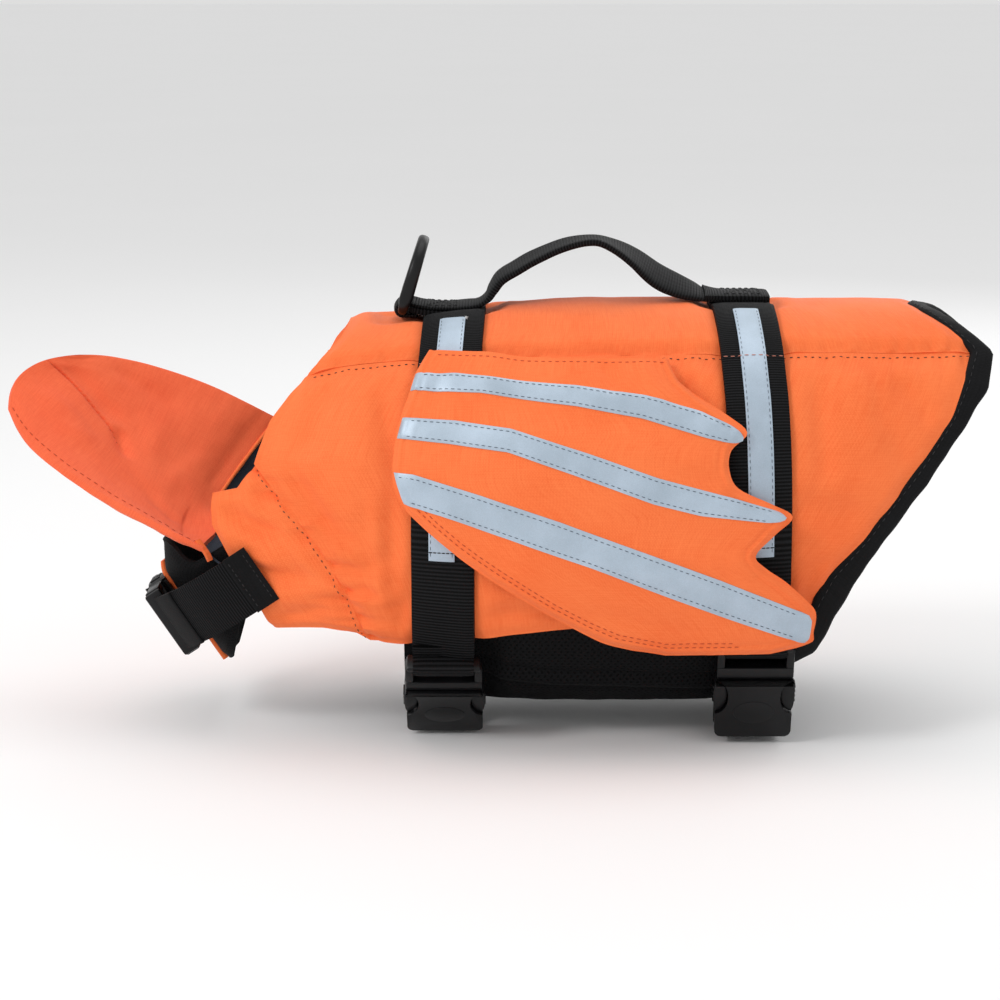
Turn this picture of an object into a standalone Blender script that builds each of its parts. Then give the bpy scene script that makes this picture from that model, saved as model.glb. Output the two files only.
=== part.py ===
"""Reflective dog vest: a foam-panelled coat with two wings, a chin float, straps and a grab handle.

Sizes are millimetres, turned to metres when a mesh is made.  +X runs to the tail, the dog's left
side is -Y and +Z is up.  The origin is where the wearer's back holds the coat up: the lining's
inner face, on the spine, in the middle of the coat.
"""
import math

import bmesh
import bpy
from mathutils import Matrix, Vector

MM = 0.001
LEFT, RIGHT = -1.0, 1.0
SIDES = (("left", LEFT), ("right", RIGHT))

# ---- cloth walls ----------------------------------------------------------------
SEAM_GAP = 0.3
PANEL_WALL = 6.2          # foam panel between its two cloth faces
PANEL_PINCH = 1.6         # how far a seam draws the outer face in
PINCH_REACH = 13.0        # distance over which the foam swells back
LINING_WALL = 0.9
LINING_GAP = 0.6          # the lining hangs this far inside the foam
LINING_OUTER = -(PANEL_WALL + LINING_GAP)
LINING_INNER = LINING_OUTER - LINING_WALL
BELLY_WALL = 3.0
BELLY_OUTER = LINING_INNER - 0.4
BELLY_STRAP_SEAT = 1.0
WING_WALL = 3.0
STRIPE_WALL = 0.6
STRIPE_SEAT = 0.5

# ---- webbing ----------------------------------------------------------------
WEB_WIDTH = 25.5
WEB_WALL = 1.8
WEB_SEAT = 0.6            # webbing stands this far off the foam that it crosses
TAPE_WIDTH = 10.5
TAPE_WALL = 0.6
TAPE_SEAT = 0.45
TAPE_CLEAR = 1.5          # the tapes stop this far from the handle's webbing
HANDLE_WIDTH = 25.0

# ---- the body that the cloth goes round: sections along X ----------------------------------------------------------------
ROUNDNESS = 2.4           # exponent of the section: 2 is an ellipse, more is squarer
SECTIONS = (              # x, half_width, top, bottom
    (-195, 29, -24, -122),
    (-175, 36, -14, -134),
    (-150, 44, -7, -146),
    (-125, 53, -1.5, -156),
    (-105, 60, 0.7, -163),
    (-85, 65, 1.9, -167.5),
    (-60, 70, 4.6, -171),
    (-35, 73.5, 6.4, -172.5),
    (0, 75, 7.7, -173),
    (60, 73, 7.7, -172),
    (110, 66, 7.4, -167),
    (150, 57, 7, -158),
    (185, 49, 6, -149),
)
# where the sewn webbing presses the foam of the back down
DIPS = (                  # x_from, x_to, depth
    (-92, -46, 2.6),
    (44, 73, 2.4),
)
DIP_HALF_WIDTH = 20.0

# ---- edges and seams in side view ----------------------------------------------------------------
SHOULDER_SEAM = (         # x, z
    (-118, -12.4),
    (-72, -10.6),
    (0, -9.3),
    (80, -10.3),
    (154, -11.6),
)
NECK_EDGE = (             # x, z, from the shoulder seam to the top of the chest flap
    (-117.5, -12.4),
    (-126, -22),
    (-139, -37.5),
    (-146, -56),
)
CHEST_SEAM = (            # x, z, slanting back and down between chest flap and side panel
    (-146, -56),
    (-133, -72.5),
    (-119, -90),
    (-106, -112),
    (-97, -125),
)
FLAP_FRONT = (            # x, z, the free front edge of the chest flap
    (-164, -69.5),
    (-163.5, -83),
    (-159, -91),
    (-150.5, -108),
    (-141.5, -126),
)
FLAP_TOP = (              # x, z
    (-164, -69.5),
    (-153.5, -66.5),
    (-146, -56),
)
FLAP_LOW = (              # x, z
    (-141.5, -126),
    (-117.5, -123.5),
    (-107, -124.5),
    (-97, -125),
)
SIDE_LOW = (              # x, z
    (-97, -125),
    (-84, -128),
    (-53, -125.5),
    (-20, -121),
    (-8, -119.5),
    (39, -124.5),
    (81, -126),
)
TAIL_EDGE = (             # x, z, where the side panel meets the binding
    (153, -11.6),
    (148, -21),
    (143, -34),
    (131, -52),
    (106, -83.5),
    (92, -97.5),
    (86.5, -108),
    (81, -126),
)
TAIL_OUTER = (            # x, z, the binding's outer edge
    (162, -12),
    (159, -23),
    (152, -33.5),
    (136, -57),
    (109, -92),
    (101, -102),
    (91, -118),
    (85, -133),
)
# four edges in side view: upper, lower, front, rear
SIDE_EDGES = (SHOULDER_SEAM, SIDE_LOW, NECK_EDGE + CHEST_SEAM[1:], TAIL_EDGE)
FLAP_EDGES = (FLAP_TOP, FLAP_LOW, FLAP_FRONT, CHEST_SEAM)
LINING_EDGES = (SHOULDER_SEAM, FLAP_LOW + SIDE_LOW[1:],
                NECK_EDGE + FLAP_TOP[-2::-1] + FLAP_FRONT[1:], TAIL_EDGE)
# length and height of each panel, for the width of its seams
BACK_SIZE = (240.0, 120.0)
SIDE_SIZE = (220.0, 110.0)
FLAP_SIZE = (32.0, 65.0)

# ---- hems ----------------------------------------------------------------
SPINE_NECK_X = -107.5
SPINE_TAIL_X = 131.0
NECK_HOLLOW = 1.6         # exponent of the hollow of the neck edge over the back
TAIL_HOLLOW = 1.35        # and of the tail hem
LINING_INSET = 2.5        # the lining ends this far inside the hems
LINING_BACK_SHARE = 0.18  # share of the lining's girth, each side, that lies on the back
LINING_LOW_SHARE = 0.975  # how far down the side panels it reaches
BINDING_WIDTH = 8.0
BINDING_WALL = 6.8
BINDING_GAP = 0.8         # from the cloth's edge
BINDING_LEVEL = -(PANEL_WALL + LINING_WALL + SEAM_GAP) / 2
BINDING_PROFILE = (       # share of the width from the cloth edge out, height over the middle
    (0.0, 0.42), (0.3, 0.5), (0.7, 0.46), (1.0, 0.2),
    (1.0, -0.2), (0.7, -0.46), (0.3, -0.5), (0.0, -0.42),
)

# ---- straps ----------------------------------------------------------------
STRAPS = {                # name: spine x, side x, height of its left end, tape's lower end
    "front": (-62.0, -66.5, -132.3, -91.0),
    "rear": (58.5, 62.5, -123.6, -88.5),
}
STRAP_SEW_HEIGHT = -124.0      # where the right-hand end is sewn to the belly strap
BELLY_PANEL_X = (-86.0, 80.0)
BELLY_PANEL_TOP = -112.0
BELLY_PRESS = 3.5              # how far the front strap's end presses the belly panel in
BELLY_STRAP_TURN = 9.0         # degrees past the lowest line at which it leaves the belly

# ---- buckles ----------------------------------------------------------------
BUCKLE_LENGTH = 45.0
BUCKLE_WIDTH = 32.0
BUCKLE_WALL = 10.0
PLUG_THINNER = 2.4        # the plug is thinner than the socket by this
BUCKLE_BEVEL = 0.9
BUCKLE_GAP = 0.4
SOCKET_LENGTH = 28.0
LATCH_LENGTH = 15.0
LATCH_WIDTH = 4.6
BELLY_BUCKLES = {         # y and z of the upper end, y and z of the way down it
    "front": ((-63.5, -135.0), (0.66, -0.75)),
    "rear": ((-64.5, -126.5), (0.36, -0.933)),
}

# ---- wing ----------------------------------------------------------------
WING_SEAT = 0.4           # wing to panel along the seam
WING_LIFT = 3.7           # how far the webbing under it lifts the wing
WING_LIFT_START = 8.0     # depth below the spine at which the lift begins to fade
WING_LIFT_END = 38.0      # and at which it has gone
WING_ROWS = (             # z, x_front, x_rear, stand_off
    (-7.5, -71, 25.5, 0.2),
    (-13, -74.5, 27, 0.8),
    (-19.5, -77.5, 30, 1.8),
    (-26, -79, 37, 3.0),
    (-32.5, -81.5, 47.5, 4.2),
    (-39.5, -83.5, 56, 5.4),
    (-46, -84.5, 49.5, 6.2),
    (-53, -85, 48.5, 7.0),
    (-60, -84.6, 52, 7.8),
    (-66, -82, 65, 8.3),
    (-71, -78, 73.5, 8.6),
    (-78, -70, 66.5, 9.0),
    (-86, -60, 59, 9.4),
    (-91, -53, 63, 9.6),
    (-96.5, -44.5, 71, 9.7),
    (-104, -32, 79.5, 9.7),
    (-109, -23.5, 83.5, 9.6),
    (-116.5, -9, 83, 9.4),
    (-121.5, 3, 81.5, 9.2),
    (-125.5, 24, 66, 9.0),
)
STRIPES = (               # name, then x and z of the top line and of the lower line, front to rear
    ("upper",
     ((-77, -20), (-60, -19.6), (-12, -22.5), (15, -26), (38, -32), (55.5, -39.7)),
     ((-79, -25.8), (-50, -26), (-12, -30), (14, -34.5), (39, -41.5), (54, -44.5))),
    ("middle",
     ((-82, -35.5), (-60, -36), (-38, -38.5), (-8, -47), (20, -56), (50, -63.5), (72.5, -70)),
     ((-84, -43), (-62, -44.5), (-39, -47), (-13, -55), (18, -65.5), (37, -70), (69.5, -73.5))),
    ("lower",
     ((-85, -55.5), (-76, -56), (-49, -63), (-18, -72.5), (13, -83.5), (45, -95), (82.5, -110)),
     ((-80.5, -67), (-65, -71), (-39, -79), (-6, -90), (26, -102), (57, -113), (81.5, -121.5))),
)

# ---- handle, ring ----------------------------------------------------------------
BAR_RADIUS = 2.0
BAR_CLEARANCE = 0.35
LOOP_WALL = 1.7           # the webbing where it loops round the ring's bar
BAR_AXIS = (-84.3, 4.5)   # x, z of the ring's hinge line
RING_INSIDE = 27.5
RING_LEG = 14.0
RING_CORNER = 3.0
RING_LEAN = 17.0          # degrees from upright, toward the tail
HANDLE_PATH = (           # x, z, thickness, roll in degrees
    (-76.5, 6.7, 1.7, 0),
    (-70, 5.9, 1.7, 0),
    (-60, 6.0, 1.7, 0),
    (-52, 7.0, 2.0, 0),
    (-48.3, 9.4, 3.0, 0),
    (-46.6, 12.5, 3.4, 2),
    (-43.2, 17.2, 3.4, 4),
    (-36, 21.2, 3.2, 5),
    (-25, 26.8, 3.2, 4),
    (-14, 31, 3.2, 2),
    (-3, 32.4, 3.2, 0),
    (5, 30, 3.2, 4),
    (14, 25, 3.2, 11),
    (23, 18.6, 3.2, 16),
    (32, 14.2, 3.0, 15),
    (39.5, 11.6, 2.8, 9),
    (44.5, 10, 2.2, 3),
    (50, 9.2, 1.9, 0),
    (60, 9.1, 1.9, 0),
    (70.5, 9, 1.9, 0),
)

# ---- neck: its own frame, leaning like the front of the throat ----------------------------------------------------------------
THROAT_CENTRE = (-177.0, -126.6)       # x, z of the front of the throat
THROAT_DOWN = Vector((0.555, 0.0, -0.832))
THROAT_FRONT = Vector((-0.832, 0.0, -0.555))
THROAT_PAD = (32.8, 36.0, 48.0, 26.5)  # half width, depth of the bow, depth in all, half height
THROAT_WALL = 3.0
THROAT_RISE = -32.0      # how far up the pad goes in the middle, and beside the flaps
THROAT_EAR = -18.6

THROAT_TUCK = 6.0        # how far its upper edge is tucked back
NECK_STRAP_HALF = 45.4   # half width and depth of the straps' bow
NECK_STRAP_DEPTH = 43.5
NECK_STRAP_LEG = 8.0     # straight run at each end
NECK_STRAP_LEVEL = -2.0
NECK_STRAP_LIFT = 10.0
NECK_STRAP_START = 0.30
NECK_BUCKLE_FORWARD = 6.5

# ---- chin float ----------------------------------------------------------------
FLOAT_ROWS = (            # far rim, middle and near rim, each x, y, z, and the swell of the pad
    ((-143.2, 41.6, -50.3), (-171, 9, -87), (-168, -34.5, -94), 5.0),
    ((-156, 38.5, -43), (-180, 8, -81), (-179, -33, -89), 7.0),
    ((-170, 37.5, -36), (-191, 8, -74), (-192, -31, -82.5), 8.5),
    ((-184, 36, -30.3), (-203, 9, -64.5), (-208, -29, -74.5), 9.0),
    ((-199, 32.5, -25), (-214, 9, -53), (-226, -26, -63.5), 9.0),
    ((-211, 27.5, -21.5), (-226, 7, -41), (-240, -21.5, -53.5), 7.5),
    ((-219, 22.5, -19.6), (-236.5, 4.5, -31), (-247, -17, -46), 5.0),
    ((-226, 16.5, -18.6), (-246.5, 1, -23), (-252, -10.5, -38), 2.6),
)
FLOAT_EDGE = 2.2

# ---- how finely each surface is cut: columns, rows ----------------------------------------------------------------
GRIDS = {
    "back": (24, 10),
    "side": (22, 11),
    "flap": (7, 10),
    "lining": (14, 30),
    "belly": (12, 26),
    "strap": (60, 1),
    "tape": (20, 1),
    "wing": (18, 19),
    "stripe": (20, 1),
    "throat": (20, 4),
    "neck_strap": (14, 1),
    "float": (21, 12),
}
BINDING_SIDE_STEPS = 18
BINDING_BACK_STEPS = 8
BELLY_STRAP_STEPS = 30
LOOP_STEPS = 12
RING_CORNER_STEPS = 3
RING_BOW_STEPS = 12
ROD_SIDES = 8
SHARP_DEGREES = 38

# ---- colours: linear base colour, roughness ----------------------------------------------------------------
FINISHES = {
    "orange_cloth": ((0.98, 0.16, 0.035, 1.0), 0.72),
    "dark_lining": ((0.016, 0.02, 0.03, 1.0), 0.8),
    "black_mesh": ((0.010, 0.010, 0.011, 1.0), 0.8),
    "black_webbing": ((0.012, 0.012, 0.013, 1.0), 0.75),
    "reflective_tape": ((0.42, 0.49, 0.56, 1.0), 0.35),
    "black_plastic": ((0.012, 0.012, 0.014, 1.0), 0.42),
}


def clear_scene():
    """Take away whatever the scene starts with."""
    for obj in list(bpy.data.objects):
        bpy.data.objects.remove(obj, do_unlink=True)


def material(name):
    """The named finish, made once."""
    found = bpy.data.materials.get(name)
    if found:
        return found
    colour, roughness = FINISHES[name]
    made = bpy.data.materials.new(name)
    made.use_nodes = True
    shader = made.node_tree.nodes["Principled BSDF"]
    shader.inputs["Base Color"].default_value = colour
    shader.inputs["Roughness"].default_value = roughness
    shader.inputs["Metallic"].default_value = 0.0
    made.diffuse_color = colour
    return made


def add_object(name, bm, finish, origin=Vector((0, 0, 0)), smooth=True):
    """Turn a mesh in millimetres into an object in metres, with its origin where given."""
    bmesh.ops.recalc_face_normals(bm, faces=bm.faces)
    for vert in bm.verts:
        vert.co = (vert.co - origin) * MM
    mesh = bpy.data.meshes.new(name)
    bm.to_mesh(mesh)
    bm.free()
    obj = bpy.data.objects.new(name, mesh)
    obj.location = origin * MM
    bpy.context.scene.collection.objects.link(obj)
    mesh.materials.append(material(finish))
    if smooth:
        mesh.shade_smooth()
        mesh.set_sharp_from_angle(angle=math.radians(SHARP_DEGREES))
    return obj


# ---- small maths ----------------------------------------------------------------
def smoothstep(value):
    """0 below 0, 1 above 1, and a soft rise between."""
    value = max(0.0, min(1.0, value))
    return value * value * (3 - 2 * value)


def table_value(table, at, column):
    """A column of a table at a place between its rows, as a smooth curve through them."""
    rows = len(table)
    if at <= table[0][0]:
        return table[0][column]
    if at >= table[-1][0]:
        return table[-1][column]
    low = max(i for i in range(rows - 1) if table[i][0] <= at)
    x0, x1 = table[low][0], table[low + 1][0]
    y0, y1 = table[low][column], table[low + 1][column]

    def slope(i):
        before, after = max(i - 1, 0), min(i + 1, rows - 1)
        return (table[after][column] - table[before][column]) / (table[after][0] - table[before][0])

    t = (at - x0) / (x1 - x0)
    step = x1 - x0
    return ((2 * t**3 - 3 * t**2 + 1) * y0 + (t**3 - 2 * t**2 + t) * step * slope(low)
            + (3 * t**2 - 2 * t**3) * y1 + (t**3 - t**2) * step * slope(low + 1))


def along(points, share):
    """The point at a share of a polyline's length."""
    points = [Vector(p) for p in points]
    lengths = [(b - a).length for a, b in zip(points, points[1:])]
    left = max(0.0, min(1.0, share)) * sum(lengths)
    for start, end, length in zip(points, points[1:], lengths):
        if left <= length:
            return start.lerp(end, left / length)
        left -= length
    return points[-1]


# ---- the body's surface ----------------------------------------------------------------
def section(x):
    """Half width, mid height and half height of the body at x."""
    half_width = table_value(SECTIONS, x, 1)
    top = table_value(SECTIONS, x, 2)
    bottom = table_value(SECTIONS, x, 3)
    return half_width, (top + bottom) / 2, (top - bottom) / 2


def dip(x, y):
    """How far the webbing sewn along the spine presses the back down here."""
    across = 1 - smoothstep((abs(y) - DIP_HALF_WIDTH / 2) / (DIP_HALF_WIDTH / 2))
    depth = 0.0
    for x_from, x_to, full in DIPS:
        lengthwise = smoothstep((x - x_from + 8) / 8) * smoothstep((x_to + 8 - x) / 8)
        depth = max(depth, full * lengthwise)
    return depth * across


def raw_point(x, angle, side):
    """A point of the body's surface: angle 0 is the spine and 180 degrees the belly."""
    half_width, middle, half_height = section(x)
    c, s = math.cos(angle), math.sin(angle)
    y = half_width * abs(s) ** (2 / ROUNDNESS)
    z = middle + math.copysign(half_height * abs(c) ** (2 / ROUNDNESS), c)
    return Vector((x, side * math.copysign(y, s), z))


def body_point(x, angle, offset=0.0, side=LEFT):
    """A point moved out from the body's surface by offset, along its normal."""
    nudge = 0.02
    here = raw_point(x, angle, side)
    lengthwise = raw_point(x + 1.0, angle, side) - raw_point(x - 1.0, angle, side)
    round_it = raw_point(x, angle + nudge, side) - raw_point(x, angle - nudge, side)
    normal = lengthwise.cross(round_it).normalized()
    centre = Vector((x, 0, section(x)[1]))
    if normal.dot(here - centre) < 0:
        normal.negate()
    pressed = smoothstep(1 + offset / PANEL_WALL)
    if math.cos(angle) > 0 and pressed > 0:
        here.z -= dip(x, here.y) * pressed
    return here + normal * offset


def angle_at(x, z):
    """The angle at which the body's side has the height z."""
    _, middle, half_height = section(x)
    share = max(-1.0, min(1.0, (z - middle) / half_height))
    return math.acos(math.copysign(abs(share) ** (ROUNDNESS / 2), share))


def side_point(x, z, offset=0.0, side=LEFT):
    """A point of the body's side at a height."""
    return body_point(x, angle_at(x, z), offset, side)


def seam_angle(x):
    """Angle of the shoulder seam."""
    return angle_at(x, table_value(SHOULDER_SEAM, x, 1))


# ---- mesh makers ----------------------------------------------------------------
def wall(name, finish, outer, inner, grid):
    """A closed wall between two surfaces, each a function of u and v from 0 to 1."""
    columns, rows = GRIDS[grid]
    bm = bmesh.new()
    grids = []
    for surface in (outer, inner):
        grids.append([[bm.verts.new(surface(c / columns, r / rows)) for c in range(columns + 1)]
                      for r in range(rows + 1)])
    top, under = grids
    for r in range(rows):
        for c in range(columns):
            bm.faces.new((top[r][c], top[r][c + 1], top[r + 1][c + 1], top[r + 1][c]))
            bm.faces.new((under[r + 1][c], under[r + 1][c + 1], under[r][c + 1], under[r][c]))
    rim_top = rim(top)
    rim_under = rim(under)
    count = len(rim_top)
    for i in range(count):
        j = (i + 1) % count
        bm.faces.new((rim_top[j], rim_top[i], rim_under[i], rim_under[j]))
    return add_object(name, bm, finish)


def rim(grid):
    """The verts round a grid, in order."""
    lower = grid[0][:]
    right = [row[-1] for row in grid[1:]]
    upper = grid[-1][-2::-1]
    left = [row[0] for row in grid[-2:0:-1]]
    return lower + right + upper + left


def sweep(name, finish, rings, closed=False, origin=Vector((0, 0, 0))):
    """A skin over rings of points; the ends are filled unless the sweep closes on itself."""
    bm = bmesh.new()
    loops = [[bm.verts.new(point) for point in ring] for ring in rings]
    size = len(loops[0])
    pairs = list(zip(loops, loops[1:]))
    if closed:
        pairs.append((loops[-1], loops[0]))
    for first, second in pairs:
        for i in range(size):
            j = (i + 1) % size
            bm.faces.new((first[i], first[j], second[j], second[i]))
    if not closed:
        bm.faces.new(loops[0])
        bm.faces.new(loops[-1])
    return add_object(name, bm, finish, origin)


def coons(top, bottom, front, rear, u, v):
    """A point of the patch between four edges in side view."""
    corner = (1 - u) * (1 - v) * along(top, 0) + u * (1 - v) * along(top, 1)
    corner += (1 - u) * v * along(bottom, 0) + u * v * along(bottom, 1)
    ruled = (1 - v) * along(top, u) + v * along(bottom, u)
    ruled += (1 - u) * along(front, v) + u * along(rear, v)
    return ruled - corner


def inset(share, length, gap=SEAM_GAP):
    """Draw a share of a length in from both ends by a little less than a gap."""
    margin = 0.9 * gap / length
    return margin + share * (1 - 2 * margin)


def puff(u, v, length, height):
    """How far the outer face is drawn in here, near the panel's seams."""
    reach = min(u * length, (1 - u) * length, v * height, (1 - v) * height)
    return -PANEL_PINCH * (1 - smoothstep(reach / PINCH_REACH))


# ---- panels ----------------------------------------------------------------
def tail_x(share):
    """X of the tail hem over the back: 0 at the spine, 1 at the shoulder seam."""
    return SPINE_TAIL_X + (TAIL_EDGE[0][0] - SPINE_TAIL_X) * abs(share) ** TAIL_HOLLOW


def neck_x(share):
    """X of the neck edge over the back."""
    return SPINE_NECK_X + (NECK_EDGE[0][0] - SPINE_NECK_X) * abs(share) ** NECK_HOLLOW


def back_place(u, v):
    """X and angle in the back panel: v runs from -1 on the right seam to 1 on the left one."""
    x = neck_x(v) + (tail_x(v) - neck_x(v)) * u
    return x, v * seam_angle(x)


def back_surface(depth, puffed):
    """The back panel's outer or inner surface."""
    length, width = BACK_SIZE

    def surface(u, v):
        x, angle = back_place(inset(u, length), 2 * inset(v, width) - 1)
        drawn = puff(u, v, length, width) if puffed else 0.0
        return body_point(x, angle, drawn - depth)
    return surface


def patch_surface(edges, sizes, depth, puffed, side):
    """Outer or inner surface of a panel given by four edges in side view."""
    length, height = sizes

    def surface(u, v):
        place = coons(*edges, inset(u, length), inset(v, height))
        drawn = puff(u, v, length, height) if puffed else 0.0
        return side_point(place[0], place[1], drawn - depth, side)
    return surface


def build_panels():
    """The back, the two sides and the two chest flaps."""
    wall("back_panel", "orange_cloth", back_surface(0, True), back_surface(PANEL_WALL, False), "back")
    for label, side in SIDES:
        wall("side_panel_" + label, "orange_cloth",
             patch_surface(SIDE_EDGES, SIDE_SIZE, 0, True, side),
             patch_surface(SIDE_EDGES, SIDE_SIZE, PANEL_WALL, False, side), "side")
        wall("chest_flap_" + label, "orange_cloth",
             patch_surface(FLAP_EDGES, FLAP_SIZE, 0, True, side),
             patch_surface(FLAP_EDGES, FLAP_SIZE, PANEL_WALL, False, side), "flap")


def lining_place(u, v):
    """X and angle in one half of the lining: v runs from the spine to the lower edge."""
    margin = LINING_INSET / BACK_SIZE[0]
    u = margin + u * (1 - 2 * margin)
    if v <= LINING_BACK_SHARE:
        return back_place(u, v / LINING_BACK_SHARE)
    v = (v - LINING_BACK_SHARE) / (1 - LINING_BACK_SHARE)
    place = coons(*LINING_EDGES, u, v * LINING_LOW_SHARE)
    return place[0], angle_at(place[0], place[1])


def build_lining():
    """The dark inner cloth, one piece from one lower edge over the back to the other."""
    def surface(offset):
        def at(u, v):
            girth = 2 * v - 1
            side = LEFT if girth < 0 else RIGHT
            x, angle = lining_place(u, abs(girth))
            return body_point(x, angle, offset, side)
        return at
    wall("lining", "dark_lining", surface(LINING_OUTER), surface(LINING_INNER), "lining")


def belly_angle(x):
    """Angle of the belly panel's upper edges."""
    return angle_at(x, BELLY_PANEL_TOP)


def belly_offset(x, angle, side):
    """How far the belly panel lies from the body's surface: the front strap's end presses it in."""
    press = 0.0
    if side == LEFT:
        side_x = STRAPS["front"][1]
        near = 1 - smoothstep((abs(x - side_x) - WEB_WIDTH / 2 - 3) / 9)
        press = -BELLY_PRESS * near * smoothstep((angle - 1.9) / 0.25) * smoothstep((2.9 - angle) / 0.3)
    return BELLY_OUTER + press


def build_belly_panel():
    """The black padded mesh under the belly, its sides tucked up inside the coat."""
    def surface(depth):
        def at(u, v):
            x = BELLY_PANEL_X[0] + (BELLY_PANEL_X[1] - BELLY_PANEL_X[0]) * u
            top = belly_angle(x)
            turn = top + (2 * math.pi - 2 * top) * v
            side = LEFT if turn <= math.pi else RIGHT
            angle = turn if turn <= math.pi else 2 * math.pi - turn
            return body_point(x, angle, belly_offset(x, angle, side) - depth, side)
        return at
    wall("belly_panel", "black_mesh", surface(0), surface(BELLY_WALL), "belly")


def binding_ring(inner, outer, side):
    """One section of the tail binding, from its inner and outer places given as x and angle."""
    ring = []
    for share, height in BINDING_PROFILE:
        x = inner[0] + (outer[0] - inner[0]) * share
        angle = inner[1] + (outer[1] - inner[1]) * share
        ring.append(body_point(x, angle, BINDING_LEVEL + height * BINDING_WALL, side))
    return ring


def build_tail_binding():
    """Black binding along the whole tail hem, from one lower corner over the back to the other."""
    side_rings = []
    for i in range(BINDING_SIDE_STEPS + 1):
        share = i / BINDING_SIDE_STEPS
        edge, far = along(TAIL_EDGE, share), along(TAIL_OUTER, share)
        out = (far - edge).normalized()
        start = edge + out * BINDING_GAP
        side_rings.append(((start.x, angle_at(start.x, start.y)), (far.x, angle_at(far.x, far.y))))
    back_rings = []
    for i in range(1, BINDING_BACK_STEPS):
        share = 1 - i / BINDING_BACK_STEPS
        x = tail_x(share)
        back_rings.append(((x + BINDING_GAP, share * seam_angle(x)),
                           (x + BINDING_WIDTH + share, share * seam_angle(x))))
    spine = ((SPINE_TAIL_X + BINDING_GAP, 0.0), (SPINE_TAIL_X + BINDING_WIDTH, 0.0))
    order = [(a, b, LEFT) for a, b in side_rings[::-1]] + [(a, b, LEFT) for a, b in back_rings]
    order += [(*spine, LEFT)]
    order += [(a, b, RIGHT) for a, b in back_rings[::-1]] + [(a, b, RIGHT) for a, b in side_rings]
    rings = [binding_ring(inner, outer, side) for inner, outer, side in order]
    sweep("tail_binding", "black_webbing", rings)


# ---- straps ----------------------------------------------------------------
def strap_x(name, turn):
    """Middle of a strap at an angle from the spine."""
    spine_x, side_x = STRAPS[name][:2]
    return spine_x + (side_x - spine_x) * smoothstep(abs(turn) / 1.6)


def band(name, finish, centre, width, low, high, start, end, grid):
    """A strip lying round the body between two offsets; angles run from the left (negative)."""
    def surface(offset):
        def at(u, v):
            turn = start + (end - start) * u
            side = LEFT if turn < 0 else RIGHT
            x = centre(turn) + (v - 0.5) * width
            return body_point(x, abs(turn), offset, side)
        return at
    return wall(name, finish, surface(high), surface(low), grid)


def build_straps():
    """The webbing over the back, with a reflective tape down each side of it."""
    for name, (_, side_x, left_end, tape_end) in STRAPS.items():
        def centre(turn, name=name):
            return strap_x(name, turn)
        start = -angle_at(side_x, left_end)
        end = angle_at(side_x, STRAP_SEW_HEIGHT)
        low = WEB_SEAT
        band(name + "_strap", "black_webbing", centre, WEB_WIDTH, low, low + WEB_WALL,
             start, end, "strap")
        tape_low = low + WEB_WALL + TAPE_SEAT
        tape_start = angle_at(side_x, tape_end)
        tape_stop = math.asin(((HANDLE_WIDTH / 2 + TAPE_CLEAR) / section(side_x)[0]) ** (ROUNDNESS / 2))
        for label, side in SIDES:
            band(name + "_tape_" + label, "reflective_tape", centre, TAPE_WIDTH, tape_low,
                 tape_low + TAPE_WALL, side * tape_start, side * tape_stop, "tape")


def extrude_outline(name, finish, outline, thickness, place):
    """A flat piece: an outline in (down, across) extruded through its thickness, edges rounded."""
    bm = bmesh.new()
    face = bm.faces.new([bm.verts.new((down, across, -thickness / 2)) for down, across in outline])
    grown = bmesh.ops.extrude_face_region(bm, geom=[face])
    moved = [item for item in grown["geom"] if isinstance(item, bmesh.types.BMVert)]
    bmesh.ops.translate(bm, verts=moved, vec=(0, 0, thickness))
    bmesh.ops.bevel(bm, geom=list(bm.edges), offset=BUCKLE_BEVEL, offset_type="OFFSET",
                    segments=1, profile=0.5, affect="EDGES", clamp_overlap=True)
    bmesh.ops.transform(bm, matrix=place, verts=bm.verts)
    return add_object(name, bm, finish)


def buckle_place(centre_x, name):
    """Frame of a belly buckle: its own X runs down it, its Y across and its Z outward."""
    (y, z), (down_y, down_z) = BELLY_BUCKLES[name]
    down = Vector((0, down_y, down_z)).normalized()
    out = Vector((0, down.z, -down.y))
    across = out.cross(down)
    turn = Matrix((down, across, out)).transposed().to_4x4()
    return Matrix.Translation(Vector((centre_x, y, z))) @ turn


def buckle_pair(stem, place):
    """The two halves of a side-release buckle, snapped together: the plug above, the socket below."""
    half = BUCKLE_WIDTH / 2
    core = half - LATCH_WIDTH - BUCKLE_GAP
    mouth = BUCKLE_LENGTH - SOCKET_LENGTH
    socket = (
        (mouth, -core), (mouth + LATCH_LENGTH + BUCKLE_GAP, -core), (mouth + LATCH_LENGTH + 2.5, -half),
        (BUCKLE_LENGTH - 4, -half), (BUCKLE_LENGTH, -half + 3),
        (BUCKLE_LENGTH, half - 3), (BUCKLE_LENGTH - 4, half),
        (mouth + LATCH_LENGTH + 2.5, half), (mouth + LATCH_LENGTH + BUCKLE_GAP, core), (mouth, core),
    )
    plug = (
        (0, -half + 2), (4, -half), (mouth - 2, -half), (mouth + 7, -half - 0.8),
        (mouth + LATCH_LENGTH - 1, -half + 0.6), (mouth + LATCH_LENGTH, -core - BUCKLE_GAP),
        (mouth - BUCKLE_GAP, -core - BUCKLE_GAP), (mouth - BUCKLE_GAP, core + BUCKLE_GAP),
        (mouth + LATCH_LENGTH, core + BUCKLE_GAP), (mouth + LATCH_LENGTH - 1, half - 0.6),
        (mouth + 7, half + 0.8), (mouth - 2, half), (4, half), (0, half - 2),
    )
    extrude_outline(stem + "_socket", "black_plastic", socket, BUCKLE_WALL, place)
    extrude_outline(stem + "_plug", "black_plastic", plug, BUCKLE_WALL - PLUG_THINNER, place)


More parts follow.
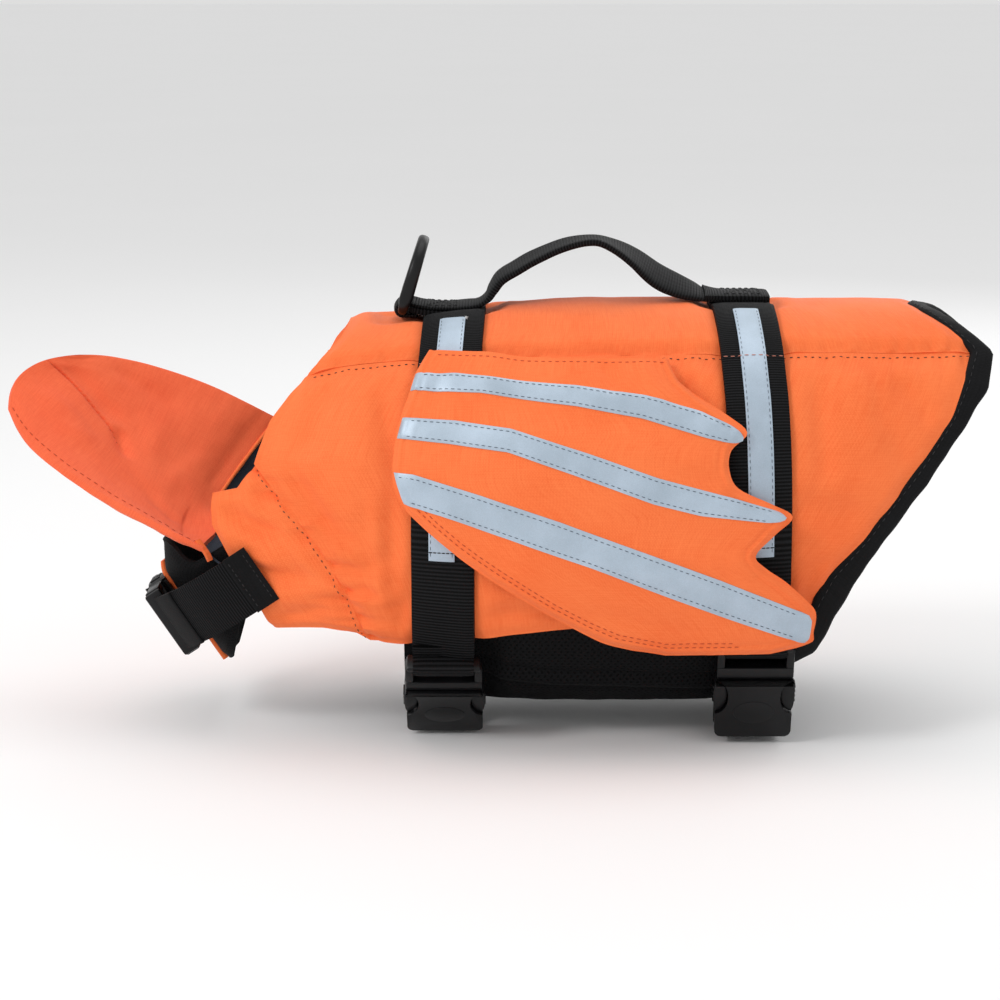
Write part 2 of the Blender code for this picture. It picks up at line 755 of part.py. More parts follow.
def build_belly_straps():
    """Webbing under the belly, from the sewn end on the right to the socket on the left."""
    for name, (_, side_x, _, _) in STRAPS.items():
        buckle_pair(name + "_buckle", buckle_place(side_x, name))
        frame = buckle_place(side_x, name)
        foot = frame @ Vector((BUCKLE_LENGTH + BUCKLE_GAP, 0, 0))
        top = angle_at(side_x, STRAP_SEW_HEIGHT) + 0.02
        build_belly_strap(name, side_x, top, foot, frame.to_3x3() @ Vector((1, 0, 0)))


def build_belly_strap(name, x, top, foot, down):
    """One belly strap: it leaves the right side, lies under the belly panel and ends at the socket."""
    last = math.pi + math.radians(BELLY_STRAP_TURN)
    rise = BELLY_OUTER + BELLY_STRAP_SEAT
    half = Vector((WEB_WIDTH / 2, 0, 0))
    rings = []
    for i in range(BELLY_STRAP_STEPS + 1):
        turn = top + i / BELLY_STRAP_STEPS * (last - top)
        offset = SEAM_GAP + (rise - SEAM_GAP) * smoothstep((turn - top) / 0.35)
        side = RIGHT if turn <= math.pi else LEFT
        angle = turn if turn <= math.pi else 2 * math.pi - turn
        rings.append([body_point(px, angle, out, side) for px, out in (
            (x - half.x, offset), (x + half.x, offset),
            (x + half.x, offset + WEB_WALL), (x - half.x, offset + WEB_WALL))])
    start = sum(rings[-1], Vector()) / 4
    bend = foot + down * 4
    run = bend - start
    under = Vector((0, run.z, -run.y)).normalized() * WEB_WALL / 2
    if under.z > 0:
        under.negate()
    face = Vector((0, down.z, -down.y)) * WEB_WALL / 2
    places = [(start + run * share, under) for share in (0.4, 0.8)]
    places += [(foot + down * 1.5, face), (foot, face)]
    for middle, out in places:
        rings.append([middle - half - out, middle + half - out, middle + half + out, middle - half + out])
    sweep(name + "_belly_strap", "black_webbing", rings)


# ---- wings ----------------------------------------------------------------
def wing_lift(x):
    """The wing's top edge rides up over the straps and tapes, and lies down between them."""
    lift = 0.0
    for spine_x, side_x, _, _ in STRAPS.values():
        centre = (spine_x + side_x) / 2
        lift += WING_LIFT * (1 - smoothstep((abs(x - centre) - WEB_WIDTH / 2 - 2) / 18))
    return lift


def wing_offset(x, z):
    """Distance of the wing's inner face from the body here."""
    table = tuple((-row[0], row[3]) for row in WING_ROWS)
    fade = 1 - smoothstep((-z - WING_LIFT_START) / (WING_LIFT_END - WING_LIFT_START))
    return WING_SEAT + wing_lift(x) * fade + table_value(table, -z, 1)


def wing_place(u, v):
    """X and height in the wing: v counts down its rows."""
    at = v * (len(WING_ROWS) - 1)
    low = min(int(at), len(WING_ROWS) - 2)
    first, second = WING_ROWS[low], WING_ROWS[low + 1]
    share = at - low
    z, front, rear = (first[i] + (second[i] - first[i]) * share for i in range(3))
    return front + (rear - front) * u, z


def wing_surface(depth, side):
    """A surface of the wing at a depth from its inner face."""
    def at(u, v):
        x, z = wing_place(u, v)
        return side_point(x, z, wing_offset(x, z) + depth, side)
    return at


def stripe_surface(top, low, depth, side):
    """A surface of a reflective stripe, made from the wing's points."""
    def at(u, v):
        place = along(top, u).lerp(along(low, u), v)
        return side_point(place.x, place.y, wing_offset(place.x, place.y) + depth, side)
    return at


def build_wings():
    """A padded wing on each side, sewn in at the shoulder seam, with three reflective stripes."""
    for label, side in SIDES:
        wall("wing_" + label, "orange_cloth", wing_surface(WING_WALL, side), wing_surface(0, side),
             "wing")
        low = WING_WALL + STRIPE_SEAT
        for name, top, under in STRIPES:
            wall("wing_stripe_%s_%s" % (name, label), "reflective_tape",
                 stripe_surface(top, under, low + STRIPE_WALL, side),
                 stripe_surface(top, under, low, side), "stripe")


# ---- handle and ring ----------------------------------------------------------------
def build_handle():
    """One webbing: a loop round the ring's bar, along the spine, up as a grab handle and down again."""
    x, z = BAR_AXIS
    reach = BAR_RADIUS + BAR_CLEARANCE + LOOP_WALL / 2
    rows = [(x + 6, z - reach, LOOP_WALL, 0), (x + 3, z - reach, LOOP_WALL, 0)]
    for i in range(LOOP_STEPS + 1):
        turn = math.radians(-90 - 180 * i / LOOP_STEPS)
        rows.append((x + reach * math.cos(turn), z + reach * math.sin(turn), LOOP_WALL, 0))
    rows += [(x + 3.5, z + reach - 0.1, LOOP_WALL, 0)]
    rows += list(HANDLE_PATH)
    rings = []
    for i, (px, pz, thick, roll) in enumerate(rows):
        before, after = rows[max(i - 1, 0)], rows[min(i + 1, len(rows) - 1)]
        tangent = Vector((after[0] - before[0], 0, after[1] - before[1])).normalized()
        spin = Matrix.Rotation(math.radians(roll), 3, tangent)
        across = spin @ Vector((0, 1, 0)) * HANDLE_WIDTH / 2
        up = spin @ Vector((tangent.z, 0, -tangent.x)) * -thick / 2
        middle = Vector((px, 0, pz))
        rings.append([middle - across + up, middle + up, middle + across + up,
                      middle + across - up, middle - up, middle - across - up])
    sweep("handle", "black_webbing", rings)


def build_ring():
    """A D of round plastic rod, leaning back, its straight bar in the webbing loop."""
    half = RING_INSIDE / 2 + BAR_RADIUS
    path = [(y, 0.0) for y in (-10.0, 0.0, 10.0)]
    corner = RING_CORNER
    for i in range(RING_CORNER_STEPS + 1):
        turn = math.radians(-90 + 90 * i / RING_CORNER_STEPS)
        path.append((half - corner + corner * math.cos(turn), corner + corner * math.sin(turn)))
    rise = RING_LEG
    for i in range(RING_BOW_STEPS + 1):
        turn = math.radians(180 * i / RING_BOW_STEPS)
        path.append((half * math.cos(turn), rise + half * math.sin(turn)))
    for i in range(RING_CORNER_STEPS + 1):
        turn = math.radians(180 + 90 * i / RING_CORNER_STEPS)
        path.append((-half + corner + corner * math.cos(turn), corner + corner * math.sin(turn)))
    axis = Vector((BAR_AXIS[0], 0, BAR_AXIS[1]))
    lean = Matrix.Rotation(math.radians(RING_LEAN), 3, "Y")
    count = len(path)
    rings = []
    for i, (y, z) in enumerate(path):
        (y0, z0), (y1, z1) = path[i - 1], path[(i + 1) % count]
        tangent = Vector((0, y1 - y0, z1 - z0)).normalized()
        side = Vector((1, 0, 0))
        other = tangent.cross(side)
        ring = []
        for k in range(ROD_SIDES):
            turn = 2 * math.pi * k / ROD_SIDES
            spoke = side * math.cos(turn) + other * math.sin(turn)
            ring.append(axis + lean @ (Vector((0, y, z)) + spoke * BAR_RADIUS))
        rings.append(ring)
    sweep("d_ring", "black_plastic", rings, closed=True, origin=axis)


# ---- neck ----------------------------------------------------------------
def throat_point(down, forward, y):
    """A point in the throat's frame."""
    base = Vector((THROAT_CENTRE[0], 0, THROAT_CENTRE[1]))
    return base + THROAT_DOWN * down + THROAT_FRONT * forward + Vector((0, y, 0))


def bow(half_width, depth, full, share):
    """Forward and sideways place on a U that opens backward; share runs from -1 to 1."""
    straight = full - depth
    arc = math.pi / 2 * (half_width + depth) / 2
    run = abs(share) * (arc + straight)
    if run <= arc:
        turn = run / arc * math.pi / 2
        forward, y = depth * (math.cos(turn) - 1), half_width * math.sin(turn)
    else:
        forward, y = -depth - (run - arc), half_width
    return forward, math.copysign(y, share)


def build_throat_pad():
    """Black pad that bows round under the throat, its ends inside the chest flaps."""
    half_width, depth, full, half_height = THROAT_PAD

    def surface(inner):
        def at(u, v):
            forward, y = bow(half_width - inner, depth - inner, full - inner, 2 * u - 1)
            top = THROAT_RISE + (THROAT_EAR - THROAT_RISE) * smoothstep(-forward / 18)
            down = top + (half_height - top) * v
            tuck = -THROAT_TUCK * smoothstep((-18 - down) / 14)
            return throat_point(down, forward - inner + tuck, y)
        return at
    wall("throat_pad", "black_mesh", surface(0), surface(THROAT_WALL), "throat")


def build_neck_straps():
    """Webbing sewn to each chest flap, carried forward to the buckle under the throat."""
    def surface(out, side):
        def at(u, v):
            share = NECK_STRAP_START + (1 - NECK_STRAP_START) * u
            depth = NECK_STRAP_DEPTH + out
            forward, y = bow(NECK_STRAP_HALF + out, depth, depth + NECK_STRAP_LEG, share)
            down = NECK_STRAP_LEVEL + (v - 0.5) * WEB_WIDTH
            return throat_point(down, forward + NECK_STRAP_LIFT + out, y * side)
        return at
    for label, side in SIDES:
        wall("neck_strap_" + label, "black_webbing", surface(WEB_WALL, side), surface(0, side),
             "neck_strap")
    down, out = Vector((0, 1, 0)), THROAT_FRONT
    across = out.cross(down)
    turn = Matrix((down, across, out)).transposed().to_4x4()
    start = throat_point(NECK_STRAP_LEVEL, NECK_BUCKLE_FORWARD, 0) - down * BUCKLE_LENGTH / 2
    buckle_pair("neck_buckle", Matrix.Translation(start) @ turn)


def build_chin_float():
    """The padded tongue under the chin: cupped, rolled to the left, sewn at its base."""
    rows = FLOAT_ROWS

    def place(u, v):
        at = u * (len(rows) - 1)
        table = tuple((i,) + sum((tuple(p) for p in row[:3]), ()) + (row[3],)
                      for i, row in enumerate(rows))
        values = [table_value(table, at, c) for c in range(1, 11)]
        far, middle, near = Vector(values[0:3]), Vector(values[3:6]), Vector(values[6:9])
        pull = middle * 2 - (far + near) / 2
        point = far * (1 - v) ** 2 + pull * 2 * v * (1 - v) + near * v * v
        return point, values[9]

    def surface(face):
        def at(u, v):
            here, swell = place(u, v)
            step = 0.02
            su, sv = min(max(u, step), 0.86), min(max(v, 0.14), 0.86)
            along_it = place(su + step, sv)[0] - place(su - step, sv)[0]
            across = place(su, sv + step)[0] - place(su, sv - step)[0]
            normal = along_it.cross(across).normalized()
            if normal.z < 0:
                normal.negate()
            full = math.sin(math.pi * v) ** 0.5
            thick = FLOAT_EDGE + (swell - FLOAT_EDGE) * full
            return here + normal * face * thick / 2
        return at
    wall("chin_float", "orange_cloth", surface(1), surface(-1), "float")


def main():
    """Build every piece of the coat."""
    clear_scene()
    build_panels()
    build_lining()
    build_belly_panel()
    build_tail_binding()
    build_straps()
    build_belly_straps()
    build_wings()
    build_handle()
    build_ring()
    build_throat_pad()
    build_neck_straps()
    build_chin_float()


main()
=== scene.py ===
"""Looks of the reflective dog vest: cloth, foam, webbing, tape, buckles and stitching.

The sizes are millimetres along the vest's own axes, and become metres when a piece is made: +X runs to
the tail, the wearer's left is -Y, +Z is up, and the origin is on the spine at the lining's inner face.
"""
from __future__ import annotations

import logging
import math
from bisect import bisect_right
from dataclasses import dataclass, field
from enum import Enum
from typing import Callable, Iterable, Mapping, Sequence

import bmesh
import bpy
from mathutils import Matrix, Vector, noise

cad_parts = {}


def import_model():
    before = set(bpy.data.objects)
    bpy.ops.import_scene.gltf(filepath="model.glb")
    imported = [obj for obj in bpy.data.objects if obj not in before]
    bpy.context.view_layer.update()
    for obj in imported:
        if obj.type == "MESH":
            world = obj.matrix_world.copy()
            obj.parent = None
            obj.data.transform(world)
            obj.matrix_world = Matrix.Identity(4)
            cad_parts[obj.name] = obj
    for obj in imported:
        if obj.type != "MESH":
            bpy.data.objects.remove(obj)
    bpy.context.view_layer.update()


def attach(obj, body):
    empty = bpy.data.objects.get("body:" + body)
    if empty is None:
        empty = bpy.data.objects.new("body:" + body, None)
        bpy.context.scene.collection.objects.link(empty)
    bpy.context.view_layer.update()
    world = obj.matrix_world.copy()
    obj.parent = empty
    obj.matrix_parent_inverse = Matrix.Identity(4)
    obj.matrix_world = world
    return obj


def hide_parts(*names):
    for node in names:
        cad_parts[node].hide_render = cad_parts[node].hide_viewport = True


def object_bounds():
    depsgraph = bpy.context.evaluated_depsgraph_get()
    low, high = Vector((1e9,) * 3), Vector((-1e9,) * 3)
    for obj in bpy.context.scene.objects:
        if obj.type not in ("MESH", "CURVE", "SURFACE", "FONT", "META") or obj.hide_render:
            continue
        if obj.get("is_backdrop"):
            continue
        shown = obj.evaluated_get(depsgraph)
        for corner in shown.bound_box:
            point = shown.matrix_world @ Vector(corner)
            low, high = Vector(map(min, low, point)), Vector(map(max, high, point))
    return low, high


LOG = logging.getLogger("dog_vest")
MM = 0.001
NOISE_RADIUS = 60.0   # turns an angle round the body into a length for the noise
Place = Callable[[float, float, float], Vector]
Track = Sequence[tuple[Vector, Vector]]


class Side(Enum):
    """A side of the wearer, as the sign of Y."""

    LEFT = -1.0
    RIGHT = 1.0

    @property
    def label(self) -> str:
        """The side's word in a node's name."""
        return self.name.lower()


class Body(Enum):
    """A body of the frame that a piece rides on."""

    VEST = "vest"
    RING = "d_ring"


# ---- small maths -------------------------------------------------------------------------------------
def soft(value: float) -> float:
    """0 below 0, 1 above 1, and a soft rise between."""
    value = max(0.0, min(1.0, value))
    return value * value * (3 - 2 * value)


def bump(distance: float, width: float) -> float:
    """1 on a line, falling softly to 0 away from it."""
    return math.exp(-(distance / width) ** 2)


def crowd(share: float, amount: float = 0.6) -> float:
    """A share from 0 to 1 whose steps are finer near both ends."""
    return share * (1 - amount) + (0.5 - 0.5 * math.cos(math.pi * share)) * amount


def grain(x: float, y: float, size: float, seed: float = 0.0) -> float:
    """Soft unevenness from -1 to 1, with lumps of a size in millimetres."""
    return noise.noise(Vector((x / size, y / size, seed)))


def rim(share: float, power: int = 7) -> float:
    """0 over the middle of a share from 0 to 1, rising to 1 at both ends."""
    return abs(2 * share - 1) ** power


def shares(count: int) -> list[float]:
    """Even shares from 0 to 1."""
    return [i / count for i in range(count + 1)]


def swung(turn: float, wide: float = 1.0, high: float = 1.0) -> tuple[float, float]:
    """Cosine and sine of a share of a turn, squared off by powers below 1."""
    c, s = math.cos(turn * 2 * math.pi), math.sin(turn * 2 * math.pi)
    return math.copysign(abs(c) ** wide, c), math.copysign(abs(s) ** high, s)


class Profile:
    """Columns of numbers along a first column, read as smooth curves through the rows."""

    def __init__(self, rows: Sequence[Sequence[float]]) -> None:
        """Keep the rows.

        Args:
            rows: each a place and then its values, in order of place.
        """
        self.rows = [tuple(row) for row in rows]
        self.keys = [row[0] for row in self.rows]

    def at(self, place: float) -> tuple[float, ...]:
        """The values at a place between the rows.

        Args:
            place: a value of the first column.

        Returns:
            One number for each further column.
        """
        rows = self.rows
        if place <= rows[0][0]:
            return rows[0][1:]
        if place >= rows[-1][0]:
            return rows[-1][1:]
        low = bisect_right(self.keys, place) - 1
        before, a, b = rows[max(low - 1, 0)], rows[low], rows[low + 1]
        after = rows[min(low + 2, len(rows) - 1)]
        step = b[0] - a[0]
        t = (place - a[0]) / step
        end = 3 * t * t - 2 * t**3
        rise, fall = t**3 - 2 * t * t + t, t**3 - t * t
        values = []
        for c in range(1, len(a)):
            slope_a = (b[c] - before[c]) / (b[0] - before[0])
            slope_b = (after[c] - a[c]) / (after[0] - a[0])
            values.append((1 - end) * a[c] + end * b[c] + step * (rise * slope_a + fall * slope_b))
        return tuple(values)


class Edge:
    """A line through places in side view, measured along its length."""

    def __init__(self, points: Sequence[Sequence[float]]) -> None:
        """Measure the line.

        Args:
            points: x and z of each place.
        """
        self.points = [Vector(p) for p in points]
        self.marks = [0.0]
        for a, b in zip(self.points, self.points[1:]):
            self.marks.append(self.marks[-1] + (b - a).length)
        self.length = self.marks[-1]

    def at(self, share: float) -> Vector:
        """The place at a share of the length.

        Args:
            share: share of the length, 0 at the first place.

        Returns:
            X and z of the place.
        """
        run = max(0.0, min(1.0, share)) * self.length
        low = min(bisect_right(self.marks, run) - 1, len(self.points) - 2)
        part = (run - self.marks[low]) / (self.marks[low + 1] - self.marks[low])
        return self.points[low].lerp(self.points[low + 1], part)

    def distance(self, place: Vector) -> float:
        """How far a place lies from the line.

        Args:
            place: x and z of the place.

        Returns:
            The distance in millimetres.
        """
        best = 1e9
        for a, b in zip(self.points, self.points[1:]):
            run = b - a
            part = max(0.0, min(1.0, (place - a).dot(run) / run.length_squared))
            best = min(best, (place - a - run * part).length)
        return best


@dataclass(frozen=True)
class Patch:
    """A panel between four edges in side view."""

    top: Edge
    bottom: Edge
    front: Edge
    rear: Edge

    def at(self, u: float, v: float) -> Vector:
        """The place at shares along and down the panel.

        Args:
            u: share from front to rear.
            v: share from top to bottom.

        Returns:
            X and z of the place.
        """
        top, bottom, front, rear = self.top, self.bottom, self.front, self.rear
        corner = (1 - u) * (1 - v) * top.at(0) + u * (1 - v) * top.at(1)
        corner += (1 - u) * v * bottom.at(0) + u * v * bottom.at(1)
        ruled = (1 - v) * top.at(u) + v * bottom.at(u) + (1 - u) * front.at(v) + u * rear.at(v)
        return ruled - corner


@dataclass(frozen=True)
class Crease:
    """A soft trough or ridge laid between two places."""

    start: tuple[float, float]
    end: tuple[float, float]
    width: float
    height: float

    def at(self, x: float, y: float) -> float:
        """How far the cloth is raised at a place.

        Args:
            x: place along the first axis.
            y: place along the second axis.

        Returns:
            The height in millimetres.
        """
        a, b = Vector(self.start), Vector(self.end)
        run = b - a
        part = (Vector((x, y)) - a).dot(run) / run.length_squared
        if not -0.2 < part < 1.2:
            return 0.0
        away = (Vector((x, y)) - a - run * part).length
        ends = soft((part + 0.2) / 0.45) * soft((1.2 - part) / 0.45)
        return self.height * ends * bump(away, self.width)


def laid(*rows: tuple[float, ...]) -> tuple[Crease, ...]:
    """Creases from rows that hold the start's two numbers, the end's, the width and the height."""
    return tuple(Crease(row[:2], row[2:4], *row[4:]) for row in rows)


def folds(creases: Iterable[Crease], x: float, y: float) -> float:
    """The height of all creases together at a place."""
    return sum(crease.at(x, y) for crease in creases)


# ---- the wearer's form -------------------------------------------------------------------------------
@dataclass(frozen=True)
class Torso:
    """The form that the cloth goes round, as rounded sections along X."""

    sections: Profile = Profile((   # x, half_width, top, bottom
        (-195, 29, -24, -122), (-175, 36, -14, -134), (-150, 44, -7, -146), (-125, 53, -1.5, -156),
        (-105, 60, 0.7, -163), (-85, 65, 1.9, -167.5), (-60, 70, 4.6, -171), (-35, 73.5, 6.4, -172.5),
        (0, 75, 7.7, -173), (60, 73, 7.7, -172), (110, 66, 7.4, -167), (150, 57, 7, -158),
        (185, 49, 6, -149)))
    dips: tuple[tuple[float, float, float], ...] = ((-92, -46, 2.6), (44, 73, 2.4))
    dip_half_width: float = 20.0
    roundness: float = 2.4
    wall: float = 6.2

    def section(self, x: float) -> tuple[float, float, float]:
        """Half width, mid height and half height at x."""
        half_width, top, bottom = self.sections.at(x)
        return half_width, (top + bottom) / 2, (top - bottom) / 2

    def dip(self, x: float, y: float) -> float:
        """How far the webbing along the spine presses the back down.

        Args:
            x: place along the vest.
            y: distance from the spine.

        Returns:
            The depth in millimetres.
        """
        half = self.dip_half_width / 2
        across = 1 - soft((abs(y) - half) / half)
        depth = 0.0
        for start, end, full in self.dips:
            depth = max(depth, full * soft((x - start + 8) / 8) * soft((end + 8 - x) / 8))
        return depth * across

    def skin(self, x: float, angle: float, side: float) -> Vector:
        """A point of the form: angle 0 is the spine and half a turn the belly.

        Args:
            x: place along the vest.
            angle: turn from the spine.
            side: the side's sign.

        Returns:
            The point.
        """
        half_width, middle, half_height = self.section(x)
        c, s = math.cos(angle), math.sin(angle)
        y = half_width * abs(s) ** (2 / self.roundness)
        z = middle + math.copysign(half_height * abs(c) ** (2 / self.roundness), c)
        return Vector((x, side * math.copysign(y, s), z))

    def point(self, x: float, angle: float, offset: float = 0.0, side: float = -1.0) -> Vector:
        """A point moved out from the form along its normal.

        Args:
            x: place along the vest.
            angle: turn from the spine.
            offset: distance out, negative inward.
            side: the side's sign.

        Returns:
            The point.
        """
        here = self.skin(x, angle, side)
        lengthwise = self.skin(x + 1.0, angle, side) - self.skin(x - 1.0, angle, side)
        around = self.skin(x, angle + 0.02, side) - self.skin(x, angle - 0.02, side)
        normal = lengthwise.cross(around).normalized()
        if normal.dot(here - Vector((x, 0, self.section(x)[1]))) < 0:
            normal.negate()
        pressed = soft(1 + offset / self.wall)
        if pressed > 0 and math.cos(angle) > 0:
            here.z -= self.dip(x, here.y) * pressed
        return here + normal * offset

    def angle_at(self, x: float, z: float) -> float:
        """The angle at which the side has a height.

        Args:
            x: place along the vest.
            z: the height.

        Returns:
            The turn from the spine.
        """
        _, middle, half_height = self.section(x)
        share = max(-1.0, min(1.0, (z - middle) / half_height))
        return math.acos(math.copysign(abs(share) ** (self.roundness / 2), share))

    def side_point(self, x: float, z: float, offset: float = 0.0, side: float = -1.0) -> Vector:
        """A point of the side at a height."""
        return self.point(x, self.angle_at(x, z), offset, side)

    def over(self, x: float, turn: float, offset: float) -> Vector:
        """A point at a turn from the spine, negative on the left."""
        return self.point(x, abs(turn), offset, -1.0 if turn < 0 else 1.0)

    def track(self, places: Iterable[Sequence[float]], side: float) -> Track:
        """Points and outward normals at places given as x, angle and offset.

        Args:
            places: x, angle and offset of each.
            side: the side's sign.

        Returns:
            The row.
        """
        rows = []
        for x, angle, offset in places:
            here = self.point(x, angle, offset, side)
            rows.append((here, self.point(x, angle, offset + 1, side) - here))
        return rows

    def side_track(self, places: Iterable[Sequence[float]], side: float) -> Track:
        """Points and outward normals at places given as x, z and offset."""
        return self.track([(x, self.angle_at(x, z), offset) for x, z, offset in places], side)


TORSO = Torso()


# ---- shader graphs -----------------------------------------------------------------------------------
class Wire:
    """A shader socket that takes part in Python arithmetic."""

    def __init__(self, graph: "Graph", socket: bpy.types.NodeSocket) -> None:
        """Wrap a socket of a graph."""
        self.graph = graph
        self.socket = socket

    def __add__(self, other: "Wire | float") -> "Wire":
        """Sum."""
        return self.graph.math("ADD", self, other)

    def __sub__(self, other: "Wire | float") -> "Wire":
        """Difference."""
        return self.graph.math("SUBTRACT", self, other)

    def __rsub__(self, other: "Wire | float") -> "Wire":
        """Difference from a number."""
        return self.graph.math("SUBTRACT", other, self)

    def __mul__(self, other: "Wire | float") -> "Wire":
        """Product."""
        return self.graph.math("MULTIPLY", self, other)

    __radd__ = __add__
    __rmul__ = __mul__

    def sine(self) -> "Wire":
        """Sine of the value."""
        return self.graph.math("SINE", self)

    def size(self) -> "Wire":
        """The value without its sign."""
        return self.graph.math("ABSOLUTE", self)

    def over(self, low: float, high: float) -> "Wire":
        """0 below low, 1 above high, soft between.

        Args:
            low: where the rise starts.
            high: where it ends.

        Returns:
            The share.
        """
        node = self.graph.node("ShaderNodeMapRange", {"interpolation_type": "SMOOTHSTEP"},
                               {"Value": self, "From Min": low, "From Max": high})
        return Wire(self.graph, node.outputs[0])


class Graph:
    """A material's nodes, made from Python expressions."""

    def __init__(self, name: str) -> None:
        """Start a material with a Principled shader.

        Args:
            name: the material's name.
        """
        self.material = bpy.data.materials.new(name)
        self.material.use_nodes = True
        self.tree = self.material.node_tree
        self.shader = self.tree.nodes["Principled BSDF"]

    def node(self, kind: str, settings: Mapping[str, object],
             inputs: Mapping[str | int, object]) -> bpy.types.Node:
        """Add a node.

        Args:
            kind: the node's type.
            settings: the node's own choices, set first.
            inputs: a value or a Wire for each socket.

        Returns:
            The node.
        """
        made = self.tree.nodes.new(kind)
        for key, value in settings.items():
            setattr(made, key, value)
        for key, value in inputs.items():
            self.feed(made.inputs[key], value)
        return made

    def feed(self, socket: bpy.types.NodeSocket, value: object) -> None:
        """Link a Wire to a socket, or set its value.

        Args:
            socket: the input.
            value: a Wire, or what the input can hold.
        """
        if isinstance(value, Wire):
            self.tree.links.new(value.socket, socket)
        else:
            socket.default_value = value

    def math(self, operation: str, *values: "Wire | float") -> Wire:
        """A Math node."""
        node = self.node("ShaderNodeMath", {"operation": operation}, dict(enumerate(values)))
        return Wire(self, node.outputs[0])

    def uv(self) -> tuple[Wire, Wire]:
        """Run and width of the cloth at this place, in metres.

        Returns:
            The two wires.
        """
        place = self.node("ShaderNodeUVMap", {"uv_map": "cloth"}, {})
        parts = self.node("ShaderNodeSeparateXYZ", {}, {0: Wire(self, place.outputs[0])})
        return Wire(self, parts.outputs[0]), Wire(self, parts.outputs[1])

    def place(self) -> Wire:
        """Object coordinates."""
        return Wire(self, self.node("ShaderNodeTexCoord", {}, {}).outputs["Object"])

    def noise(self, scale: float, detail: float = 2.0, vector: Wire | None = None) -> Wire:
        """Noise from 0 to 1 over the object's coordinates.

        Args:
            scale: lumps to the metre.
            detail: octaves.
            vector: the place, or none for its own.

        Returns:
            The noise.
        """
        node = self.node("ShaderNodeTexNoise", {},
                         {"Vector": vector or self.place(), "Scale": scale, "Detail": detail})
        return Wire(self, node.outputs[0])

    def vector(self, x: Wire, y: Wire) -> Wire:
        """A vector from two values."""
        return Wire(self, self.node("ShaderNodeCombineXYZ", {}, {0: x, 1: y}).outputs[0])

    def mix(self, share: Wire | float, low: object, high: object) -> Wire:
        """A colour between two."""
        node = self.node("ShaderNodeMix", {"data_type": "RGBA"}, {0: share, 6: low, 7: high})
        return Wire(self, node.outputs[2])

    def relief(self, height: Wire, depth_mm: float, strength: float = 1.0) -> Wire:
        """A normal bumped by a height of some millimetres.

        Args:
            height: the height, about 0 to 1.
            depth_mm: what 1 stands for.
            strength: how much of it shows.

        Returns:
            The normal.
        """
        node = self.node("ShaderNodeBump", {},
                         {"Strength": strength, "Distance": depth_mm * MM, "Height": height})
        return Wire(self, node.outputs[0])

    def dress(self, **inputs: object) -> bpy.types.Material:
        """Set the shader's sockets, named with underscores for spaces.

        Args:
            inputs: a value or a Wire for each socket.

        Returns:
            The material.
        """
        for key, value in inputs.items():
            self.feed(self.shader.inputs[key.replace("_", " ")], value)
        return self.material


Colour = tuple[float, float, float, float]


@dataclass(frozen=True)
class Finish:
    """A finish, its slot in the record, and its main colour."""

    name: str
    slot: str
    base: Colour
    shade: Colour
    roughness: float = 0.7

    def material(self) -> bpy.types.Material:
        """The finish as a material, made once."""
        return bpy.data.materials.get(self.name) or self.make(Graph(self.name))

    def make(self, graph: Graph) -> bpy.types.Material:
        """Build the nodes; each kind of finish has its own."""
        raise NotImplementedError


@dataclass(frozen=True)
class WovenCloth(Finish):
    """Plain woven cloth: crossing threads, a soft mottle and a faint sheen."""

    pitch_mm: float = 0.55
    depth_mm: float = 0.06
    sheen: float = 0.07
    gloss: float = 0.22

    def make(self, graph: Graph) -> bpy.types.Material:
        """Build the weave.

        Args:
            graph: the material's empty graph.

        Returns:
            The material.
        """
        run, width = graph.uv()
        turns = math.pi / (self.pitch_mm * MM)
        warp, weft = (run * turns).sine(), (width * turns).sine()
        weave = warp.size() * 0.5 + weft.size() * 0.5 + warp * weft * 0.35
        lumps = graph.noise(1400.0, 3.0)
        cloud = graph.noise(28.0, 2.0)
        slub = graph.noise(1.0, 2.0, graph.vector(run * 1500.0, width * 90.0))
        pick = graph.noise(1.0, 2.0, graph.vector(run * 110.0, width * 1700.0))
        mottle = weave * 0.25 + lumps * 0.3 + cloud * 0.45 + slub * 0.5 + pick * 0.3
        tone = graph.mix(mottle.over(0.55, 1.25), self.shade, self.base)
        return graph.dress(Base_Color=tone, Roughness=lumps * 0.16 + (self.roughness - 0.08),
                           Normal=graph.relief(weave + lumps * 0.9 + slub * 1.2, self.depth_mm, 0.6),
                           Specular_IOR_Level=self.gloss, Sheen_Weight=self.sheen, Sheen_Roughness=0.5)


@dataclass(frozen=True)
class Webbing(Finish):
    """Black ribbed webbing: ribs across the run and fine threads along it; the rib tops carry painted
    highlight and the grooves painted shade.
    """

    rib_mm: float = 1.25
    depth_mm: float = 0.26

    def make(self, graph: Graph) -> bpy.types.Material:
        """Build the ribs.

        Args:
            graph: the material's empty graph.

        Returns:
            The material.
        """
        run, width = graph.uv()
        rib = (run * (math.pi / (self.rib_mm * MM))).sine().size()
        thread = (width * (2 * math.pi / (1.15 * MM))).sine()
        fuzz = graph.noise(1900.0, 3.0)
        height = rib + thread * 0.1 + fuzz * 0.3
        # painted highlight on the rib tops and painted shade in the grooves: the colour follows the rib's
        # height
        tone = graph.mix((rib * 0.8 + fuzz * 0.4).over(0.5, 1.12), self.shade, self.base)
        return graph.dress(Base_Color=tone, Roughness=fuzz * 0.2 + (self.roughness - 0.1),
                           Normal=graph.relief(height, self.depth_mm, 0.8), Specular_IOR_Level=0.1)


